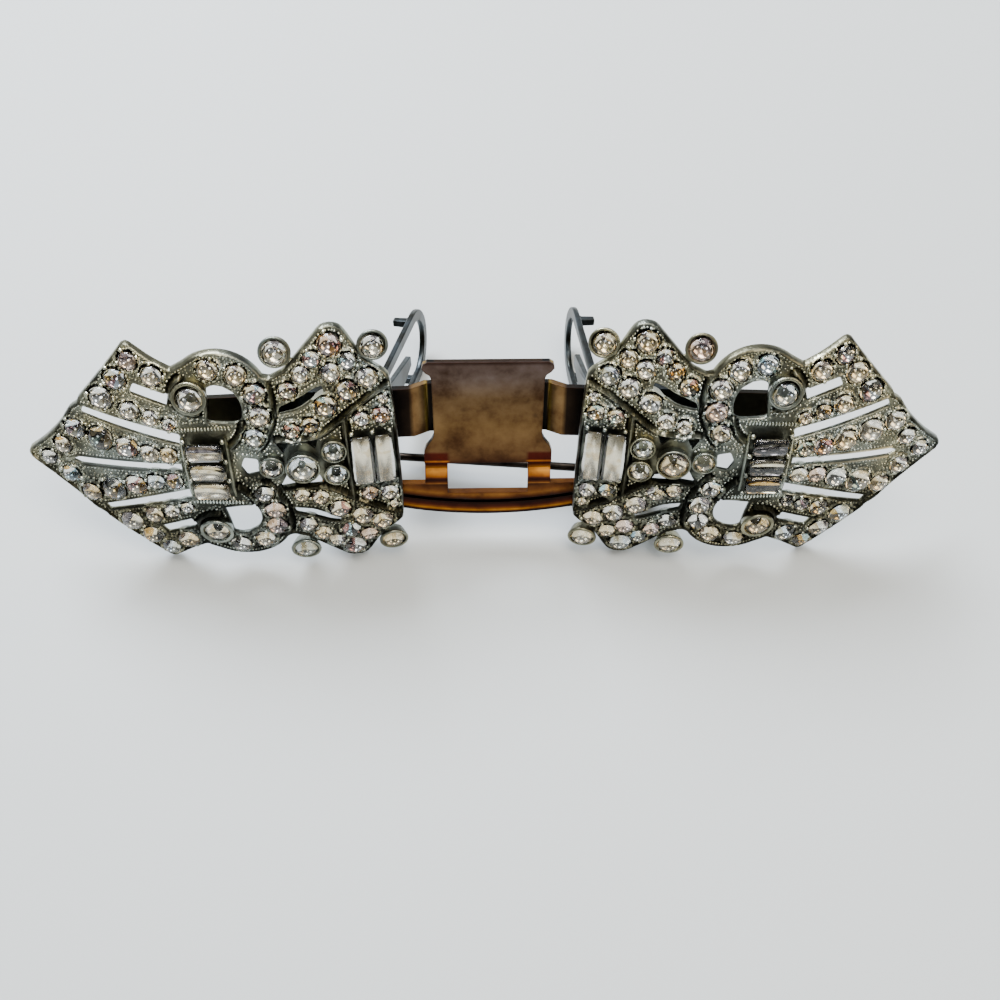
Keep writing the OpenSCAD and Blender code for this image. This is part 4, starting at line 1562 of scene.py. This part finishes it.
@dataclass
class CutStones:
    """All cut stones of one clip: round ones with a table and crown facets, and step-cut baguettes."""

    place: ClipPlace
    sketch: ClipSketch
    dome: Dome
    finishes: Finishes
    seed: int
    table: float = 0.6
    crown: float = 0.34
    girdle: float = 0.06
    depth: float = 0.84
    small_lift: float = 0.3
    bar_corner: float = 0.26
    wedge_spread_deg: float = 22.0
    # Painted window reflection: the backing by angle from the middle of the bright wedge.
    wedge_steps: tuple[tuple[float, Backing], ...] = (
        (40, Backing.SATIN),
        (84, Backing.CREAM),
        (150, Backing.BRIGHT),
    )
    bar_lift: float = 0.48
    upright_lift: float = 0.6
    bar_step: tuple[float, float, float] = (0.2, 0.2, 0.26)
    upright_step: tuple[float, float, float] = (0.01, 0.16, 0.12)
    low_below: float = -3.0
    tilt_deg: float = 6.0
    tint_odds: tuple[float, ...] = (0.48, 0.34, 0.07, 0.11)
    # Backings drawn facet by facet are partly aged foil and partly painted reflections; the stones lower
    # down get more dark backing as painted shade.
    upper_foil: FoilState = FoilState((0.45, 0.25, 0.08, 0.07, 0.07, 0.08, 0.0, 0.0), 0.5)
    lower_foil_painted_shade: FoilState = FoilState((0.3, 0.2, 0.3, 0.05, 0.08, 0.07, 0.0, 0.0), 0.65, 0.6)
    cup_foil: FoilState = FoilState((0.52, 0.2, 0.15, 0.04, 0.04, 0.05, 0.0, 0.0), 0.8)
    random: np.random.Generator = field(init=False)

    def __post_init__(self) -> None:
        """Seed the small differences between stones."""
        self.random = np.random.default_rng(self.seed)

    def round_cut(self) -> tuple[Array, list[tuple[int, ...]], int]:
        """A round stone of radius 1 with its girdle at height 0.

        Returns:
            Points, faces and how many of the faces, from the first, are clear glass.
        """
        rows = [ring(8, self.table, self.crown), ring(8, 0.8, 0.6 * self.crown, 0.5), ring(16, 1, 0)]
        points = np.vstack([*rows, ring(16, 0.99, -self.girdle), [[0, 0, -self.depth]]])
        faces: list[tuple[int, ...]] = [tuple(range(8))]
        for k in range(8):
            after = (k + 1) % 8
            faces += [(k, 8 + k, after), (after, 8 + k, 16 + 2 * after, 8 + after)]
            faces += [(8 + k, 16 + 2 * k, 17 + 2 * k), (8 + k, 17 + 2 * k, 16 + (2 * k + 2) % 16)]
        faces += [(16 + k, 32 + k, 32 + (k + 1) % 16, 16 + (k + 1) % 16) for k in range(16)]
        clear = len(faces)
        for k in range(0, 16, 2):
            last = 32 + (k + 2) % 16
            faces += [(32 + k, 48, last), (32 + k, last, 33 + k)]
        return points, faces, clear

    def backings_of(self, name: str) -> tuple[Backing, ...]:
        """The four backings of a baguette, from its lower edge up, or from the outer edge of an upright one.

        Args:
            name: the baguette's name without the side.

        Returns:
            One backing for each strip of its back.
        """
        # Painted reflections and shade: each strip's backing is chosen for how the light falls on it.
        rows = {
            "end_baguette_1": (Backing.DARK, Backing.SATIN, Backing.SATIN, Backing.BRIGHT),
            "end_baguette_2": (Backing.BRIGHT, Backing.SATIN, Backing.SATIN, Backing.DARK),
            "bridge_baguette_1": (Backing.BRIGHT, Backing.SATIN, Backing.MAUVE, Backing.DARK),
            "bridge_baguette_2": (Backing.DARK, Backing.SATIN, Backing.CREAM, Backing.DARK),
            "bridge_baguette_3": (Backing.CREAM, Backing.SATIN, Backing.SATIN, Backing.DARK),
        }
        # The right clip's bridge baguettes are painted darker, as painted shade.
        if self.place.side is Side.RIGHT:
            rows["bridge_baguette_1"] = (Backing.DARK, Backing.MAUVE, Backing.DARK, Backing.SATIN)
            rows["bridge_baguette_2"] = (Backing.MAUVE, Backing.DARK, Backing.SATIN, Backing.DARK)
            rows["bridge_baguette_3"] = (Backing.CREAM, Backing.DARK, Backing.AMBER, Backing.SATIN)
        return rows[name]

    def step_cut(
        self, bar: Bar, backings: Sequence[Backing]
    ) -> tuple[Array, list[tuple[int, ...]], list[int]]:
        """A baguette with its girdle at height 0, a broad step up to its table and a shallow keel below.

        The back has four strips, which lie one above another as the eye sees them.

        Args:
            bar: its sizes.
            backings: what lies behind each strip.

        Returns:
            Points, faces and the slot of each face.
        """
        long, short = max(bar.along_u, bar.along_v) / 2, min(bar.along_u, bar.along_v) / 2
        keel, step, tall = self.upright_step if bar.upright() else self.bar_step
        rows = []
        for inset, height, dip in ((0.02, -0.08, keel), (0.0, 0.0, 0.0), (step, tall, 0.0)):
            x, y, c = long - inset, short - inset, self.bar_corner
            right = [(x - c, -y, 0), (x, -y + c, 0), (x, 0, dip), (x, y - c, 0), (x - c, y, 0)]
            left = [(-p, -q, d) for p, q, d in right]
            rows += [(p, q, height - d) for p, q, d in [*right, *left]]
        points = np.array(rows, float)
        if bar.upright():
            points = points[:, [1, 0, 2]] * [-1, 1, 1]
        faces: list[tuple[int, ...]] = [*band_faces(3, 10), tuple(range(20, 30))]
        slots = [0] * len(faces)
        faces += [(8, 1, 0, 9), (7, 2, 1, 8), (6, 3, 2, 7), (5, 4, 3, 6)]
        slots += [len(Tint) + list(Backing).index(backing) for backing in backings]
        return points, faces, slots

    def wedge(self, turned: float, width: float) -> list[int]:
        """Backings painted as the reflection of a high window in a foil cone: a bright wedge below, dull
        above.

        Args:
            turned: degrees that the stone is turned about its own axis.
            width: share of the usual width.

        Returns:
            One slot for each facet of the back, of which every eighth of the turn has two.
        """
        low = 270 + self.random.normal(0, self.wedge_spread_deg)
        slots = []
        for k in range(8):
            apart = abs((turned + 45 * k + 22.5 - low + 180) % 360 - 180)
            lit = (kind for reach, kind in self.wedge_steps if apart <= reach * width)
            slots += [len(Tint) + list(Backing).index(next(lit, Backing.MAUVE))] * 2
        return slots

    def slots_of(self, clear: int, foil: FoilState, turned: float) -> list[int]:
        """Draw a tint for the glass and the backing of each facet behind it.

        Args:
            clear: how many of the faces are clear glass.
            foil: state of its foil.
            turned: degrees that the stone is turned about its own axis.

        Returns:
            One slot for each face.
        """
        tint = int(self.random.choice(len(Tint), p=self.tint_odds))
        foils = (self.random.choice(len(Backing), 16, p=foil.odds) + len(Tint)).tolist()
        if self.random.random() < foil.wedge_share:
            foils = self.wedge(turned, foil.wedge_width)
        return [tint] * clear + foils

    def add_round(
        self, mesh: MeshBuilder, u: float, v: float, radius: float, lift: float, foil: FoilState
    ) -> None:
        """Add a round stone, turned and tilted a little at random.

        Args:
            mesh: where it is added.
            u: place along the clip.
            v: place across the clip.
            radius: radius of its girdle.
            lift: height of its girdle above the dome.
            foil: state of its foil.
        """
        points, faces, clear = self.round_cut()
        axes, origin = self.dome.seat(u, v, lift)
        tilt_x, tilt_y = self.random.uniform(-self.tilt_deg, self.tilt_deg, 2)
        turned = self.random.uniform(0, 45)
        axes = axes @ turn("X", tilt_x) @ turn("Y", tilt_y) @ turn("Z", turned)
        slots = self.slots_of(clear, foil, turned)
        mesh.add(points * radius @ axes.T + origin, faces, slots, smooth=False)

    def add_bar(self, mesh: MeshBuilder, bar: Bar, backings: Sequence[Backing]) -> None:
        """Add a baguette, tilted a little at random.

        Args:
            mesh: where it is added.
            bar: its place and sizes.
            backings: what lies behind each strip of its back.
        """
        points, faces, slots = self.step_cut(bar, backings)
        lift = bar.lift + (self.upright_lift if bar.upright() else self.bar_lift)
        axes, origin = self.dome.seat(bar.u, bar.v, lift)
        axes = axes @ turn("X", self.random.uniform(-2, 2)) @ turn("Y", self.random.uniform(-2, 2))
        mesh.add(points @ axes.T + origin, faces, slots, smooth=False)

    def finish(self, mesh: MeshBuilder, name: str) -> None:
        """Make the piece that stands for one CAD node.

        Args:
            mesh: its form.
            name: the node's name without the side.
        """
        side = self.place.side.value
        piece = mesh.build(f"{side}_{name}_cut", self.place, [*self.finishes.glass, *self.finishes.foil])
        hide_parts(f"{side}_{name}")
        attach(piece, f"{side}_clip")

    def build(self) -> int:
        """Make every stone of the clip.

        Returns:
            How many stones there are.
        """
        count = 0
        fields = {"fan_stones": self.sketch.fan_stones(), "crest_stones": self.sketch.crest_stones()}
        for name, stones in fields.items():
            mesh = MeshBuilder()
            for stone in stones:
                foil = self.lower_foil_painted_shade if stone.v < self.low_below else self.upper_foil
                self.add_round(mesh, stone.u, stone.v, stone.radius, self.small_lift, foil)
            self.finish(mesh, name)
            count += len(stones)
        for name, cup in self.sketch.cups().items():
            mesh = MeshBuilder()
            self.add_round(mesh, cup.u, cup.v, cup.stone, cup.height, self.cup_foil)
            self.finish(mesh, name)
            count += 1
        for name, bar in self.sketch.bars().items():
            mesh = MeshBuilder()
            self.add_bar(mesh, bar, self.backings_of(name))
            self.finish(mesh, name)
            count += 1
        return count


@dataclass
class Fittings:
    """The metalwork that the CAD frame already shapes: frame, pin, brackets and flaps."""

    nodes: dict[str, bpy.types.Object]
    finishes: Finishes
    soften: float = 0.13
    soften_segments: int = 2
    soften_over_deg: float = 20.0
    weld: float = 0.002
    slimmer: float = 0.1

    def dress(self) -> list[str]:
        """Give each node its finish and slightly rounded edges, and take a little off the flaps' wire.

        Returns:
            The names of the dressed nodes.
        """
        kinds = {"frame": self.finishes.brass, "pin_stem": self.finishes.wire}
        for side in Side:
            for word in ("bracket", "flap"):
                kinds[f"{side.value}_{word}"] = self.finishes.steel
        for name, material in kinds.items():
            node = self.nodes[name]
            node.data.materials.clear()
            node.data.materials.append(material)
            weld = node.modifiers.new("weld", "WELD")
            weld.merge_threshold = self.weld * MM
            if name.endswith("flap"):
                slim = node.modifiers.new("slim", "DISPLACE")
                slim.strength = -self.slimmer * MM
                slim.mid_level = 0.0
            bevel = node.modifiers.new("soft_edges", "BEVEL")
            bevel.width = self.soften * MM
            bevel.segments = self.soften_segments
            bevel.limit_method = "ANGLE"
            bevel.angle_limit = math.radians(self.soften_over_deg)
            bevel.harden_normals = True
        return list(kinds)


@dataclass(frozen=True)
class Viewpoint:
    """Where the photograph was taken from, in the face's own axes."""

    stance: Stance = Stance()
    lens_mm: float = 50.0
    sensor_mm: float = 36.0
    target: tuple[float, float, float] = (1.18, -7.29, 0.0)
    distance: float = 134.0
    pitch_deg: float = 38.9
    yaw_deg: float = -1.8
    roll_deg: float = 0.5

    def place(self) -> None:
        """Make the scene's camera."""
        axes = turn("Y", self.yaw_deg) @ turn("X", -self.pitch_deg) @ turn("Z", self.roll_deg)
        spot = np.array(self.target) + axes[:, 2] * self.distance
        data = bpy.data.cameras.new("camera")
        data.lens = self.lens_mm
        data.sensor_width = self.sensor_mm
        data.clip_start = 1 * MM
        camera = bpy.data.objects.new("camera", data)
        matrix = Matrix((self.stance.turned() @ axes).tolist()).to_4x4()
        matrix.translation = self.stance.to_row(spot[None])[0].tolist()
        camera.matrix_world = matrix
        bpy.context.scene.collection.objects.link(camera)
        bpy.context.scene.camera = camera


@dataclass(frozen=True)
class SoftLight:
    """One large soft light, aimed at the brooch."""

    name: str
    place_mm: tuple[float, float, float]
    width_mm: float
    height_mm: float
    watts: float
    colour: str

    def build(self) -> None:
        """Add the light to the scene."""
        data = bpy.data.lights.new(self.name, "AREA")
        data.shape = "RECTANGLE"
        data.size = self.width_mm * MM
        data.size_y = self.height_mm * MM
        data.energy = self.watts
        data.color = linear(self.colour)[:3]
        lamp = bpy.data.objects.new(self.name, data)
        lamp.location = [c * MM for c in self.place_mm]
        lamp.rotation_euler = (-lamp.location).to_track_quat("-Z", "Y").to_euler()
        bpy.context.scene.collection.objects.link(lamp)


@dataclass(frozen=True)
class Studio:
    """A plain pale floor under plain soft light, in a room with bright panes.

    Each pane is given by the way to it, half its width in degrees and how bright it is.
    """

    lights: tuple[SoftLight, ...] = (
        SoftLight("window", (-160, 330, 360), 260, 200, 7.2, "eaf2ff"),
        SoftLight("ceiling", (60, 60, 620), 420, 240, 3.4, "fff8ee"),
        SoftLight("near_side", (380, -160, 300), 200, 260, 0.7, "ffeccf"),
    )
    panes: tuple[tuple[tuple[float, float, float], float, float], ...] = (
        ((-0.55, -0.75, 0.38), 8.0, 14.0),
        ((0.5, -0.82, 0.3), 6.0, 14.0),
        ((0.05, -0.6, 0.8), 8.0, 11.0),
        ((-0.8, 0.2, 0.55), 8.0, 11.0),
        ((0.75, 0.45, 0.5), 7.0, 10.0),
        ((-0.1, -0.98, 0.2), 5.0, 12.0),
    )
    pane_core: float = 0.7
    below: str = "6c6b66"
    beside: str = "808284"
    above: str = "dfe6ee"
    near_strength: float = 0.38
    far_strength: float = 0.8
    floor_mm: float = 6000.0

    def build_world(self) -> None:
        """Make the room that the metal and the stones reflect: pale above, dim at the sides, with panes."""
        world = bpy.data.worlds.new("room")
        bpy.context.scene.world = world
        world.use_nodes = True
        tree = world.node_tree
        tree.nodes.clear()
        place = add_node(tree, "TexCoord").outputs["Generated"]
        up = add_node(tree, "SeparateXYZ", {0: place}).outputs["Z"]
        raised = add_node(tree, "MapRange", {"Value": up, "From Min": -1.0}).outputs[0]
        ramp = add_node(tree, "ValToRGB", {"Fac": raised})
        set_ramp(ramp, [(0.5, linear(self.below)), (0.64, linear(self.beside)), (0.86, linear(self.above))])
        depth = add_node(tree, "SeparateXYZ", {0: place}).outputs["Y"]
        fade = {"From Min": -1.0, "To Min": self.near_strength, "To Max": self.far_strength}
        strength = add_node(tree, "MapRange", {"Value": depth, **fade}).outputs[0]
        for towards, half_deg, bright in self.panes:
            length = math.hypot(*towards)
            facing = {0: place, 1: tuple(c / length for c in towards)}
            near = add_node(tree, "VectorMath", facing, operation="DOT_PRODUCT").outputs["Value"]
            rim, core = (math.cos(math.radians(share * half_deg)) for share in (1, self.pane_core))
            limits = {"From Min": rim, "From Max": core, "To Max": bright}
            pane = add_node(tree, "MapRange", {"Value": near, **limits}).outputs[0]
            strength = add_node(tree, "Math", {0: strength, 1: pane}, operation="ADD").outputs[0]
        glow = add_node(tree, "Background", {"Color": ramp.outputs["Color"], "Strength": strength})
        add_node(tree, "OutputWorld", {"Surface": glow.outputs["Background"]})

    def build(self) -> None:
        """Make the floor, the room and the lights."""
        half = self.floor_mm * MM / 2
        mesh = bpy.data.meshes.new("floor")
        corners = [(-half, -half, 0), (half, -half, 0), (half, half, 0), (-half, half, 0)]
        mesh.from_pydata(corners, [], [(0, 1, 2, 3)])
        mesh.materials.append(MattPaper().build())
        floor = bpy.data.objects.new("floor", mesh)
        bpy.context.scene.collection.objects.link(floor)
        self.build_world()
        for light in self.lights:
            light.build()


def main() -> None:
    """Build the scene around the frame."""
    logging.basicConfig(level=logging.INFO, format="%(name)s: %(message)s")
    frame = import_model()
    stance = Stance()
    finishes = Finishes(stance)
    for name in Fittings(frame["nodes"], finishes).dress():
        LOG.info("%s dressed", name)
    for number, side in enumerate(Side):
        place, sketch, dome = ClipPlace(side, stance), ClipSketch(), Dome()
        casting = Casting(place, sketch, dome, CASTING_SEED + number).build(finishes)
        LOG.info("%s built with %d faces", casting.name, len(casting.data.polygons))
        count = CutStones(place, sketch, dome, finishes, STONES_SEED + number).build()
        LOG.info("%s clip set with %d stones", side.value, count)
    Studio().build()
    Viewpoint(stance).place()


if __name__ == "__main__":
    main()
